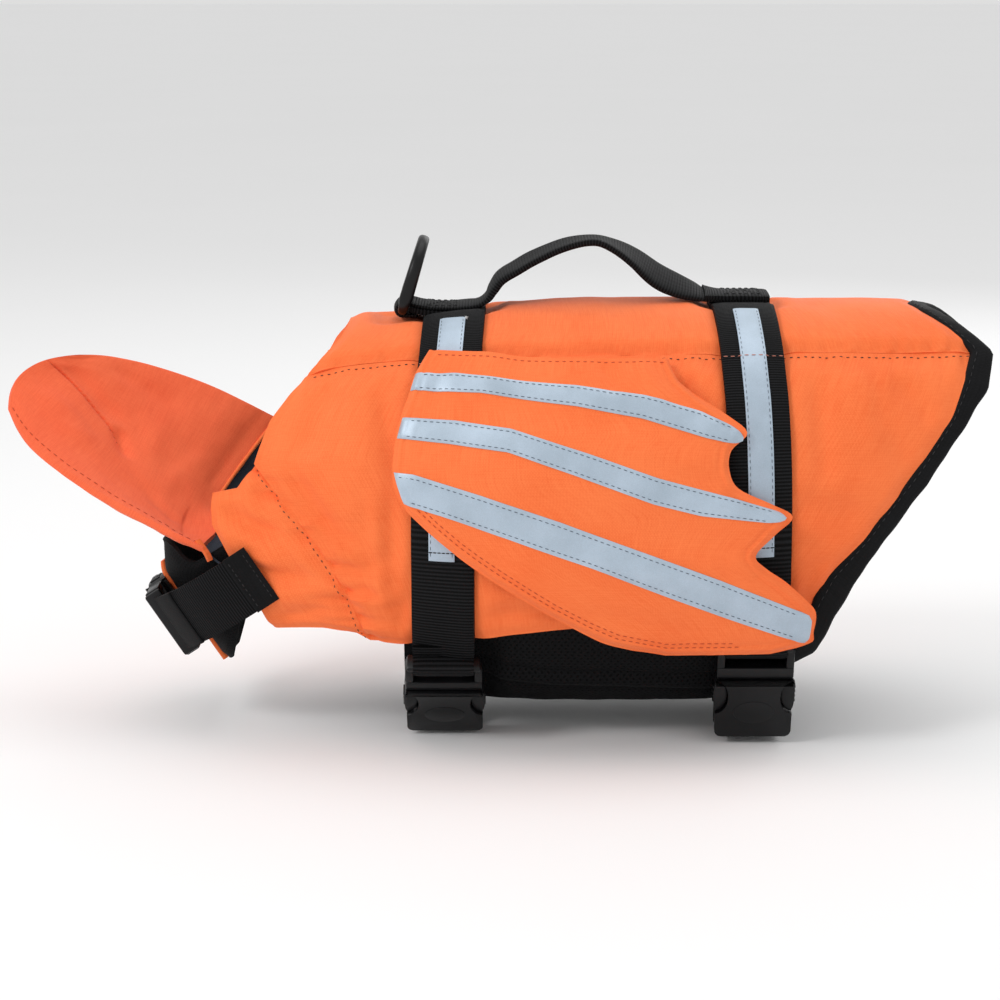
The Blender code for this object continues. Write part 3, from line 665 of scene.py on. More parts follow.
@dataclass(frozen=True)
class AirMesh(Finish):
    """Black knitted mesh with rows of small holes."""

    hole_mm: float = 2.1

    def make(self, graph: Graph) -> bpy.types.Material:
        """Build the holes.

        Args:
            graph: the material's empty graph.

        Returns:
            The material.
        """
        run, width = graph.uv()
        turns = 2 * math.pi / (self.hole_mm * MM)
        knit = (run * turns + (width * (turns / 2)).sine() * 0.6).sine() * (width * (turns * 0.6)).sine()
        hole = knit.over(0.25, 0.75)
        fuzz = graph.noise(2400.0, 3.0)
        tone = graph.mix((fuzz - hole * 0.6).over(0.1, 0.75), self.shade, self.base)
        return graph.dress(Base_Color=tone, Roughness=fuzz * 0.15 + self.roughness - 0.1,
                           Normal=graph.relief(fuzz * 0.5 - hole, 0.3, 0.8), Specular_IOR_Level=0.1)


@dataclass(frozen=True)
class BeadTape(Finish):
    """Silver reflective tape: glass beads under a smooth film, with soft lighter and greyer patches painted
    in as reflection.
    """

    metal: float = 0.25

    def make(self, graph: Graph) -> bpy.types.Material:
        """Build the beads.

        Args:
            graph: the material's empty graph.

        Returns:
            The material.
        """
        beads = graph.noise(3200.0, 2.0)
        cloud = graph.noise(60.0, 3.0)
        # the beads are the tape's own grain; the cloud patches, lighter and greyer by turns, are painted
        # reflection
        tone = graph.mix((beads * 0.5 + cloud * 0.7).over(0.3, 0.95), self.shade, self.base)
        return graph.dress(Base_Color=tone, Metallic=self.metal,
                           Roughness=cloud * 0.2 + self.roughness - 0.1,
                           Normal=graph.relief(beads + cloud * 1.4, 0.12, 0.4), Coat_Weight=0.12,
                           Coat_Roughness=0.3)


@dataclass(frozen=True)
class MouldedPlastic(Finish):
    """Black moulded plastic with a fine spark-eroded grain and duller handling marks."""

    grain_mm: float = 0.05

    def make(self, graph: Graph) -> bpy.types.Material:
        """Build the grain.

        Args:
            graph: the material's empty graph.

        Returns:
            The material.
        """
        pits = graph.noise(2600.0, 3.0)
        wear = graph.noise(90.0, 4.0)
        tone = graph.mix(wear.over(0.3, 0.8), self.shade, self.base)
        return graph.dress(Base_Color=tone, Roughness=wear * 0.25 + self.roughness - 0.12,
                           Normal=graph.relief(pits, self.grain_mm, 0.6), Specular_IOR_Level=0.28)


@dataclass(frozen=True)
class Thread(Finish):
    """Sewing thread: a twist of fine strands."""

    def make(self, graph: Graph) -> bpy.types.Material:
        """Build the twist.

        Args:
            graph: the material's empty graph.

        Returns:
            The material.
        """
        strands = graph.noise(5200.0, 1.0)
        tone = graph.mix(strands.over(0.3, 0.7), self.shade, self.base)
        return graph.dress(Base_Color=tone, Roughness=self.roughness,
                           Normal=graph.relief(strands, 0.05, 0.6))


def tone(red: float, green: float, blue: float) -> Colour:
    """An opaque colour."""
    return red, green, blue, 1


ORANGE = WovenCloth("orange_cloth_woven", "orange_cloth", tone(1.0, 0.222, 0.062),
                    tone(0.90, 0.140, 0.030))
# the float's cloth: the same orange cloth painted darker and redder, as painted shade
FLOAT_ORANGE_SHADED = WovenCloth("float_cloth_shaded_woven", "orange_cloth", tone(0.98, 0.176, 0.066),
                          tone(0.86, 0.110, 0.038))
NAVY = WovenCloth("lining_woven", "dark_lining", tone(0.046, 0.057, 0.080), tone(0.023, 0.029, 0.042),
                  roughness=0.75, pitch_mm=0.7)
# the webbing's base colour is the painted highlight on the rib tops, its shade colour the painted shade in
# the grooves
BLACK_WEB = Webbing("webbing_ribbed", "black_webbing", tone(0.014, 0.014, 0.0155),
                    tone(0.0006, 0.0006, 0.0006), roughness=0.62)
BINDING = WovenCloth("binding_woven", "black_webbing", tone(0.007, 0.007, 0.008), tone(0.002, 0.002, 0.002),
                     roughness=0.7, pitch_mm=0.8, depth_mm=0.06, sheen=0.03, gloss=0.12)
MESH = AirMesh("air_mesh", "black_mesh", tone(0.008, 0.008, 0.009), tone(0.0005, 0.0005, 0.0005), 0.75)
# tape colours: the soft patches between them are painted reflection, the fine beads the tape's own grain
SILVER = BeadTape("bead_tape", "reflective_tape", tone(0.50, 0.60, 0.71), tone(0.36, 0.44, 0.52), 0.42)
PLASTIC = MouldedPlastic("moulded_plastic", "black_plastic", tone(0.006, 0.006, 0.007),
                         tone(0.003, 0.003, 0.0035), 0.34)
DARK_THREAD = Thread("dark_thread", "black_webbing", tone(0.10, 0.035, 0.022), tone(0.04, 0.016, 0.012))
BLACK_THREAD = Thread("black_thread", "black_webbing", tone(0.011, 0.011, 0.012),
                      tone(0.004, 0.004, 0.005), 0.6)
GREY_THREAD = Thread("grey_thread", "reflective_tape", tone(0.13, 0.16, 0.20), tone(0.07, 0.09, 0.12))
ORANGE_THREAD = Thread("orange_thread", "orange_cloth", tone(0.62, 0.075, 0.015), tone(0.42, 0.045, 0.01))
PINK_THREAD = Thread("pink_thread", "orange_cloth", tone(0.62, 0.24, 0.17), tone(0.4, 0.14, 0.1))
WHITE_THREAD = Thread("white_thread", "reflective_tape", tone(0.7, 0.7, 0.68), tone(0.5, 0.5, 0.48))


# ---- makers ------------------------------------------------------------------------------------------
def put(name: str, data: bpy.types.ID) -> bpy.types.Object:
    """An object that shows some data, linked into the scene.

    Args:
        name: the object's name.
        data: its mesh, light or camera.

    Returns:
        The object.
    """
    obj = bpy.data.objects.new(name, data)
    bpy.context.scene.collection.objects.link(obj)
    return obj


class Maker:
    """Turns meshes in millimetres into pieces of the vest."""

    @staticmethod
    def piece(name: str, bm: bmesh.types.BMesh, finish: Finish, nodes: Sequence[str] = (),
              body: Body = Body.VEST, sharp: float = 50.0,
              recalc: bool = True) -> bpy.types.Object:
        """Make an object from a mesh, dress it and set it on its body.

        Args:
            name: the piece's name.
            bm: its mesh, in millimetres, which is used up.
            finish: its finish.
            nodes: frame nodes that it stands for.
            body: the body that it rides on.
            sharp: angle in degrees past which an edge stays sharp.
            recalc: whether its faces are turned outward here.

        Returns:
            The object.
        """
        if recalc:
            bmesh.ops.recalc_face_normals(bm, faces=bm.faces)
        bmesh.ops.scale(bm, vec=(MM, MM, MM), verts=bm.verts)
        mesh = bpy.data.meshes.new(name)
        bm.to_mesh(mesh)
        bm.free()
        mesh.shade_smooth()
        mesh.set_sharp_from_angle(angle=math.radians(sharp))
        mesh.materials.append(finish.material())
        obj = put(name, mesh)
        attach(obj, body.value)
        if nodes:
            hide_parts(*nodes)
        LOG.info("%s: %d faces", name, len(mesh.polygons))
        return obj

    @staticmethod
    def wall(columns: int, rows: int, place: Place, size: tuple[float, float]) -> bmesh.types.BMesh:
        """A closed wall over a grid, its cloth coordinates in metres.

        Args:
            columns: faces along it.
            rows: faces across it.
            place: the point at shares u and v, at depth 0 outside or 1 inside.
            size: the cloth's run and width in millimetres.

        Returns:
            The mesh.
        """
        bm = bmesh.new()
        bmesh.ops.create_grid(bm, x_segments=columns, y_segments=rows, size=0.5)
        grown = bmesh.ops.extrude_face_region(bm, geom=bm.faces[:], use_keep_orig=True)
        inner = [item for item in grown["geom"] if isinstance(item, bmesh.types.BMVert)]
        bmesh.ops.translate(bm, verts=inner, vec=(0, 0, 1))
        Maker.unwrap(bm, size)
        for vert in bm.verts:
            u, v, depth = vert.co
            vert.co = place(min(1.0, max(0.0, u + 0.5)), min(1.0, max(0.0, v + 0.5)), depth)
        return bm

    @staticmethod
    def panel(name: str, grid: tuple[int, int], place: Place, size: tuple[float, float], finish: Finish,
              node: str | None = None) -> bpy.types.Object:
        """A piece with two faces over a grid, which stands for a node where one is named."""
        return Maker.piece(name, Maker.wall(*grid, place, size), finish, [node] if node else [])

    @staticmethod
    def unwrap(bm: bmesh.types.BMesh, size: tuple[float, float]) -> None:
        """Give a flat unit grid its cloth coordinates.

        Args:
            bm: the grid, from -0.5 to 0.5.
            size: its run and width in millimetres.
        """
        layer = bm.loops.layers.uv.new("cloth")
        for face in bm.faces:
            for loop in face.loops:
                u, v, _ = loop.vert.co
                loop[layer].uv = ((u + 0.5) * size[0] * MM, (v + 0.5) * size[1] * MM)

    @staticmethod
    def tube(count: int, around: int, place: Callable[[float, float], Vector],
             size: tuple[float, float]) -> bmesh.types.BMesh:
        """A skin round a path, its ends closed unless they meet.

        Args:
            count: faces along the path.
            around: faces round it.
            place: the point at a share of the path and a share of the turn.
            size: the run and the girth in millimetres.

        Returns:
            The mesh.
        """
        bm = bmesh.new()
        bmesh.ops.create_grid(bm, x_segments=count, y_segments=around, size=0.5)
        Maker.unwrap(bm, size)
        for vert in bm.verts:
            u, v = vert.co.x + 0.5, vert.co.y + 0.5
            vert.co = place(min(1.0, max(0.0, u)), 0.0 if v > 0.9999 else max(0.0, v))
        bmesh.ops.remove_doubles(bm, verts=bm.verts, dist=0.001)
        rims = [edge for edge in bm.edges if edge.is_boundary]
        if rims:
            bmesh.ops.holes_fill(bm, edges=rims, sides=0)
        return bm

    @staticmethod
    def ribbon(points: Sequence[Sequence[float]], across: Vector, width: float, wall: float,
               steps: tuple[int, int] = (40, 8)) -> bmesh.types.BMesh:
        """A strip of webbing through places, flat along one direction.

        Args:
            points: the middle of its thickness.
            across: the direction of its width.
            width: its width.
            wall: its thickness.
            steps: faces along and across.

        Returns:
            The mesh.
        """
        profile = Profile([(i,) + tuple(point) for i, point in enumerate(points)])
        last = len(points) - 1

        def place(u: float, v: float, depth: float) -> Vector:
            """A point of the strip."""
            here = Vector(profile.at(u * last))
            ahead = Vector(profile.at(min(u + 0.01, 1) * last)) - Vector(profile.at(max(u - 0.01, 0) * last))
            up = ahead.cross(across).normalized()
            v = crowd(v, 0.5)
            fat = wall / 2 * (1 - 0.4 * rim(v)) * (1 if depth < 0.5 else -1)
            return here + across * (v - 0.5) * width + up * fat
        length = sum((Vector(b) - Vector(a)).length for a, b in zip(points, points[1:]))
        return Maker.wall(steps[0], steps[1], place, (length, width))

    @staticmethod
    def stitches(bm: bmesh.types.BMesh, track: Track, pitch: float = 3.2, length: float = 2.3,
                 width: float = 0.5) -> None:
        """Lay a row of stitches along a track.

        Args:
            bm: the mesh that takes them.
            track: points and outward normals of the row.
            pitch: distance between stitches.
            length: length of a stitch.
            width: thickness of the thread.
        """
        marks = [0.0]
        for (a, _), (b, _) in zip(track, track[1:]):
            marks.append(marks[-1] + (b - a).length)
        count = int(marks[-1] / pitch)
        for i in range(count):
            run = (i + 0.5) * marks[-1] / max(count, 1)
            low = min(bisect_right(marks, run) - 1, len(track) - 2)
            part = (run - marks[low]) / max(marks[low + 1] - marks[low], 1e-6)
            here = track[low][0].lerp(track[low + 1][0], part)
            ahead = (track[low + 1][0] - track[low][0]).normalized()
            out = track[low][1].lerp(track[low + 1][1], part).normalized()
            across = out.cross(ahead).normalized()
            turn = Matrix((ahead * length / 2, across * width / 2, out * width * 0.45)).transposed().to_4x4()
            place = Matrix.Translation(here) @ turn
            bmesh.ops.create_icosphere(bm, subdivisions=1, radius=1.0, matrix=place)

    @staticmethod
    def seam(name: str, tracks: Iterable[Track], finish: Finish, pitch: float = 3.2, length: float = 2.3,
             width: float = 0.5) -> bpy.types.Object:
        """One piece with a row of stitches along each track.

        Args:
            name: the piece's name.
            tracks: points and outward normals of each row.
            finish: the thread.
            pitch: distance between stitches.
            length: length of a stitch.
            width: thickness of the thread.

        Returns:
            The object.
        """
        bm = bmesh.new()
        for track in tracks:
            Maker.stitches(bm, track, pitch, length, width)
        bm.loops.layers.uv.new("cloth")
        return Maker.piece(name, bm, finish, recalc=False)


# ---- outlines of the coat in side view, x and z ------------------------------------------------------
SHOULDER = Profile(((-124.5, -18), (-111, -14.6), (-88, -11.8), (-60, -10.2), (0, -8.2), (80, -7.6),
                    (154, -8.4)))
SHOULDER_EDGE = Edge(SHOULDER.rows)
NECK = ((-124.5, -18), (-128, -22.8), (-139, -37.5), (-146, -56))
CHEST = ((-146, -56), (-133, -72.5), (-119, -90), (-106, -112), (-98.5, -131))
FLAP_FRONT = ((-165, -69.5), (-164.5, -83), (-160, -91), (-151.5, -108), (-142.5, -123.5))
FLAP_TOP = ((-165, -69.5), (-153.5, -66.5), (-146, -56))
FLAP_LOW = ((-142.5, -123.5), (-139, -128), (-117.5, -125.5), (-107.5, -126.2), (-98.5, -131))
SIDE_LOW = ((-98.5, -131), (-84, -130.4), (-53, -126.2), (-20, -121), (-8, -119.5), (39, -124.5), (81, -126))
TAIL = ((153, -8.4), (148, -21), (143, -34), (131, -52), (106, -83.5), (92, -97.5), (86.5, -108), (81, -126))
TAIL_OUTER = ((162, -9), (159, -23), (152, -33.5), (136, -57), (110, -92), (103.5, -102), (95.5, -118),
              (88, -134))
HEM_END = ((73, -127.5), (77.5, -139.5))   # where the binding stops under the wing, inner and outer
FAR = 99.0   # stands for an edge too far away to matter
# each strap's x on the spine, x on the side, height of its left end and of its tape's end
STRAP_LINES = {"front": (-62.0, -66.5, -132.3, -91.0), "rear": (58.5, 62.5, -123.6, -88.5)}


def seam_angle(x: float) -> float:
    """Angle of the shoulder seam."""
    return TORSO.angle_at(x, SHOULDER.at(x)[0])


def strap_x(name: str, turn: float) -> float:
    """Middle of a strap at an angle from the spine."""
    spine_x, side_x = STRAP_LINES[name][:2]
    return spine_x + (side_x - spine_x) * soft(abs(turn) / 1.6)


@dataclass
class Shell:
    """The coat's foam panels in their cloth, and the lining inside them."""

    wall: float = 6.2
    seam_depth: float = 2.3
    seam_reach: float = 11.0
    strap_press: float = 0.9
    strap_width: float = 25.5
    spine_neck: float = -107.5
    spine_tail: float = 131.0
    neck_hollow: float = 2.8
    right_hollow: float = 7.0
    tail_hollow: float = 1.35
    lining_out: float = -6.8
    lining_wall: float = 0.9
    back_share: float = 0.18
    side: Patch = Patch(SHOULDER_EDGE, Edge(SIDE_LOW), Edge(NECK + CHEST[1:]), Edge(TAIL))
    flap: Patch = Patch(Edge(FLAP_TOP), Edge(FLAP_LOW), Edge(FLAP_FRONT), Edge(CHEST))
    half: Patch = Patch(SHOULDER_EDGE, Edge(FLAP_LOW + SIDE_LOW[1:]),
                        Edge(NECK + FLAP_TOP[-2::-1] + FLAP_FRONT[1:]), Edge(TAIL))
    back_size: tuple[float, float] = (240.0, 112.0)
    side_size: tuple[float, float] = (220.0, 110.0)
    flap_size: tuple[float, float] = (34.0, 65.0)
    seam_starts: tuple[tuple[Side, int], ...] = ((Side.LEFT, -122), (Side.RIGHT, -112))
    creases: tuple[Crease, ...] = laid(
        (-130, -58, -114, -82, 4.5, -1.5), (-122, -52, -102, -76, 6.0, 1.3),
        (-110, -100, -88, -92, 4.5, -1.4), (-102, -112, -82, -106, 3.5, 1.0),
        (-112, -17, -124, -52, 6.0, -1.2), (-100, -20, -104, -60, 7.0, 1.1),
        (-88, -62, -86, -120, 3.5, -1.3), (-94, -70, -93, -112, 3.0, 0.8),
        (-118, -78, -104, -86, 3.0, -1.0), (-112, -88, -98, -97, 2.6, 0.9),
        (-104, -104, -92, -110, 2.6, -1.0), (-92, -24, -86, -58, 4.0, -1.1),
        (30, -16, 38, -40, 4.0, -1.6), (42, -14, 44, -44, 4.0, 1.2), (86, -20, 90, -58, 5.0, -1.4),
        (100, -18, 112, -44, 7.0, 1.2), (120, -20, 134, -36, 5.0, -1.2), (78, -66, 104, -74, 6.0, -1.2),
        (76, -88, 96, -86, 4.0, 1.0), (90, -60, 118, -66, 7.0, 1.1), (-50, -116, -8, -110, 4.5, -1.2),
        (-48, -106, -24, -102, 4.0, 0.9), (-84, -122, -81, -96, 3.0, -1.0),
        (79, -118, 86, -98, 3.5, -1.2), (108, -30, 126, -54, 6.0, -1.0), (84, -104, 92, -94, 3.0, 0.9))
    flap_creases: tuple[Crease, ...] = laid(
        (-158, -76, -136, -86, 3.5, -1.4), (-158, -86, -134, -98, 4.5, 1.2),
        (-150, -100, -126, -104, 3.5, -1.4), (-142, -112, -120, -110, 4.0, 1.0),
        (-136, -122, -116, -116, 3.0, -1.2), (-146, -62, -138, -78, 3.5, -1.1),
        (-128, -92, -112, -106, 3.0, 0.9), (-150, -84, -134, -82, 2.6, -0.8))

    def back_place(self, u: float, v: float) -> tuple[float, float]:
        """X and angle in the back panel; v runs from -1 on one seam to 1 on the other.

        Args:
            u: share from neck to tail.
            v: -1 on the left seam, 1 on the right one.

        Returns:
            X and angle.
        """
        neck = self.spine_neck + (NECK[0][0] - self.spine_neck) * abs(v) ** self.neck_hollow
        neck += self.right_hollow * 0.63 * max(0.0, v) ** 2
        tail = self.spine_tail + (TAIL[0][0] - self.spine_tail) * abs(v) ** self.tail_hollow
        x = neck + (tail - neck) * u
        return x, v * seam_angle(x)

    def hollow(self, u: float, z: float, side: float) -> float:
        """How far the right side's neck edge lies back, so that the left one hides it."""
        return self.right_hollow * (1 - u) ** 6 * bump(z + 26, 20) if side > 0 else 0.0

    def pressed(self, x: float, angle: float) -> float:
        """How far the straps press the foam in, and how it swells beside them.

        Args:
            x: place along the vest.
            angle: turn from the spine.

        Returns:
            The offset, negative inward.
        """
        depth = 0.0
        for name in STRAP_LINES:
            away = abs(x - strap_x(name, angle)) - self.strap_width / 2
            depth -= self.strap_press * (1 - soft((away + 1.0) / 5.0))
            depth += 0.35 * bump(away - 7.0, 4.0)
        return depth

    def gathered(self, away: float, run: float, seed: float, height: float = 1.5) -> float:
        """Small puckers that a seam draws into the cloth beside it."""
        wave = grain(run, 0.12 * away, 5.5, seed) + 0.6 * grain(run, 3.0, 2.8, seed)
        return height * wave * math.exp(-away / 9.0) * soft(away / 1.5)

    def pinch(self, reach: float, depth: float) -> float:
        """How far the outer face is drawn in near an edge."""
        return -depth * (1 - soft(reach / self.seam_reach)) ** 1.5

    def build_back(self) -> None:
        """The panel over the back."""
        def place(u: float, v: float, depth: float) -> Vector:
            """A point of the back panel."""
            u, v = crowd(u), crowd(v)
            x, angle = self.back_place(u, 2 * v - 1)
            run, width = self.back_size
            away = min(v, 1 - v) * width
            ends = min(u, 1 - u) * run
            across = angle * NOISE_RADIUS
            out = self.pinch(away, self.seam_depth) + self.pinch(ends * 1.6, 1.6)
            out += self.pressed(x, abs(angle)) + self.gathered(away, x, 4.0)
            out += 0.9 * grain(x, across, 34, 1.0) + 0.3 * grain(x, across, 11, 2.0)
            inner = -self.wall + 1.6 * (1 - soft(ends / 5.0))
            return TORSO.over(x, angle, min(out, 0.9) if depth < 0.5 else inner)

        name = "back_panel"
        Maker.panel(name + "_cloth", (150, 72), place, self.back_size, ORANGE, name)

    def outside(self, x: float, z: float, creases: Iterable[Crease], seed: float) -> float:
        """The outer face's own unevenness at a place in side view."""
        return 1.6 * folds(creases, x, z) + 0.8 * grain(x, z, 36, seed) + 0.28 * grain(x, z, 12, seed + 3)

    def side_face(self, spot: Vector, away: tuple[float, float, float, float], side: Side) -> float:
        """Offset of a side panel's outer face.

        Args:
            spot: the place in side view.
            away: distances from its top, low, front and rear edges.
            side: the vest's side.

        Returns:
            The offset from the body's outline.
        """
        top, low, front, rear = away
        seed = 7.0 + side.value
        chest = soft((-spot.y - 50) / 10)
        out = self.pinch(top, self.seam_depth) + self.pinch(front, 1.2 + 1.1 * chest)
        out += self.pinch(low * 1.5, 2.0) + self.pinch(rear * 1.5, 1.4)
        out += self.pressed(spot.x, TORSO.angle_at(spot.x, spot.y))
        out += self.outside(spot.x, spot.y, self.creases, seed)
        out += self.gathered(top, spot.x, seed) + chest * self.gathered(front, spot.y, seed + 1, 4.6)
        return min(out, 1.3)

    def flap_face(self, spot: Vector, away: tuple[float, float, float], side: Side) -> float:
        """Offset of a chest flap's outer face.

        Args:
            spot: the place in side view.
            away: distances from its rear and front edges and from the nearer end.
            side: the vest's side.

        Returns:
            The offset from the body's outline.
        """
        rear, front, ends = away
        seed = 7.0 + side.value
        out = self.pinch(rear, 2.3) + self.pinch(front * 1.8, 2.0) + self.pinch(ends * 1.8, 2.0)
        out += self.outside(spot.x, spot.y, self.flap_creases, seed + 5)
        return min(out + self.gathered(rear, spot.y, seed + 2, 3.6), 1.3)

    def build_sides(self, side: Side) -> None:
        """A side panel and its chest flap.

        Args:
            side: the vest's side.
        """
        def side_place(u: float, v: float, depth: float) -> Vector:
            """A point of the side panel."""
            u, v = crowd(u), crowd(v)
            spot = self.side.at(u, v)
            spot.x += self.hollow(u, spot.y, side.value)
            run, drop = self.side_size
            low, front = (1 - v) * drop, u * run
            out = self.side_face(spot, (v * drop, low, front, run - front), side)
            inner = -self.wall + 2.0 * (1 - soft(low / 4.0))
            inner += 1.4 * (1 - soft((-spot.y - 50) / 10)) * (1 - soft(front / 5.0))
            return TORSO.side_point(spot.x, spot.y, out if depth < 0.5 else inner, side.value)

        def flap_place(u: float, v: float, depth: float) -> Vector:
            """A point of the chest flap."""
            u, v = crowd(u), crowd(v)
            spot = self.flap.at(u, v)
            run, drop = self.flap_size
            front, ends = u * run, min(v, 1 - v) * drop
            out = self.flap_face(spot, (run - front, front, ends), side)
            inner = -self.wall + 2.0 * (1 - soft(min(front, ends) / 4.0))
            return TORSO.side_point(spot.x, spot.y, out if depth < 0.5 else inner, side.value)

        node = "side_panel_" + side.label
        Maker.panel(node + "_cloth", (150, 84), side_place, (230, 115), ORANGE, node)
        node = "chest_flap_" + side.label
        Maker.panel(node + "_cloth", (40, 64), flap_place, (36, 66), ORANGE, node)

    def lining_spot(self, u: float, girth: float) -> tuple[float, float]:
        """X and angle in the lining; girth runs from -1 on the left edge to 1 on the right.

        Args:
            u: share from neck to tail.
            girth: -1 on the left edge, 1 on the right one.

        Returns:
            X and angle.
        """
        u, v = 0.0105 + u * 0.979, abs(girth)
        if v <= self.back_share:
            x, angle = self.back_place(u, girth / self.back_share)
            return x, abs(angle)
        spot = self.half.at(u, (v - self.back_share) / (1 - self.back_share) * 0.975)
        spot.x += self.hollow(u, spot.y, girth)
        return spot.x, TORSO.angle_at(spot.x, spot.y)

    def build_lining(self) -> None:
        """The dark inner cloth in one piece, softly rumpled."""
        def place(u: float, v: float, depth: float) -> Vector:
            """A point of the lining."""
            girth = 2 * v - 1
            x, angle = self.lining_spot(u, girth)
            rumple = 0.45 * grain(x, angle * NOISE_RADIUS * math.copysign(1, girth), 18, 9.0)
            offset = self.lining_out - (0.0 if depth < 0.5 else self.lining_wall) - 0.45 + rumple
            return TORSO.point(x, angle, offset, math.copysign(1.0, girth))

        piece = Maker.panel("lining_cloth", (64, 110), place, (240, 400), NAVY, "lining")

    def build_seams(self) -> None:
        """Stitches along the shoulder seams and the chest seams."""
        shoulders, chests = [], []
        line, rise = Edge(CHEST), 0.15
        for side, start in self.seam_starts:
            row = []
            for x in range(start, 153, 2):
                below = 1.9
                spot = Vector((x, SHOULDER.at(x)[0] - below))
                row.append((*spot, self.side_face(spot, (below, FAR, FAR, FAR), side) + rise))
            shoulders.append(TORSO.side_track(row, side.value))
            row = []
            for i in range(61):
                before = 1.7
                spot = line.at(i / 60) - Vector((before, 0.0))
                ends = 0.5 + min(i, 60 - i) * 1.4
                row.append((*spot, self.flap_face(spot, (before, 32, ends), side) + rise))
            chests.append(TORSO.side_track(row, side.value))
        Maker.seam("shoulder_stitches", shoulders, DARK_THREAD, 3.0, 1.5, 0.45)
        Maker.seam("chest_stitches", chests, DARK_THREAD, 3.0, 1.4, 0.45)

    def build(self) -> None:
        """Build the whole shell."""
        self.build_back()
        for side in Side:
            self.build_sides(side)
        self.build_lining()
        self.build_seams()


@dataclass
class Hem:
    """Black binding folded over the tail hem, with its stitching."""

    gap: float = -0.9
    width: float = 8.0
    thick: float = 7.0
    level: float = -3.7
    run: float = 480.0
    shell: Shell = field(default_factory=Shell)
    inner_line: Edge = Edge(TAIL + HEM_END[:1])
    outer_line: Edge = Edge(TAIL_OUTER + HEM_END[1:])

    def ring_ends(self, run: float) -> tuple[Vector, Vector, float]:
        """Inner and outer place of the binding, as x and angle, and the side.

        Args:
            run: 0 at the left lower corner, 1 at the right one.

        Returns:
            Inner place, outer place and the side's sign.
        """
        side = -1.0 if run < 0.5 else 1.0
        down = abs(2 * run - 1)
        corner = 0.24
        if down > corner:
            share = (down - corner) / (1 - corner)
            edge, far = self.inner_line.at(share), self.outer_line.at(share)
            far = far + (far - edge).normalized() * 0.6 * grain(share * 150, 0.0, 9.0, 22.0)
            start = edge + (far - edge).normalized() * self.gap
            return (Vector((start.x, TORSO.angle_at(*start))), Vector((far.x, TORSO.angle_at(*far))), side)
        share = down / corner
        x, angle = self.shell.back_place(1.0, share)
        return Vector((x + self.gap, angle)), Vector((x + self.width + share, angle)), side

    def build(self) -> None:
        """Build the binding and its stitches."""
        def place(u: float, turn: float) -> Vector:
            """A point of the binding."""
            inner, outer, side = self.ring_ends(u)
            wide, high = swung(turn, 0.55, 0.6)
            share = 0.5 - 0.5 * wide
            fullness = 0.5 * (0.86 - 0.3 * share) + 0.04 * grain(u * self.run, 0.0, 6.0, 21.0)
            spot = inner.lerp(outer, share)
            return TORSO.point(*spot, self.level + high * fullness * self.thick, side)

        bm = Maker.tube(190, 14, place, (self.run, 26))
        Maker.piece("tail_binding_cloth", bm, BINDING, ["tail_binding"])
        track = []
        for share in shares(120):
            inner, outer, side = self.ring_ends(0.01 + 0.98 * share)
            track += TORSO.track([(*inner.lerp(outer, 0.24), self.level + 0.4 * self.thick)], side)
        Maker.seam("tail_stitches", [track], BLACK_THREAD, 3.4, 2.3, 0.45)


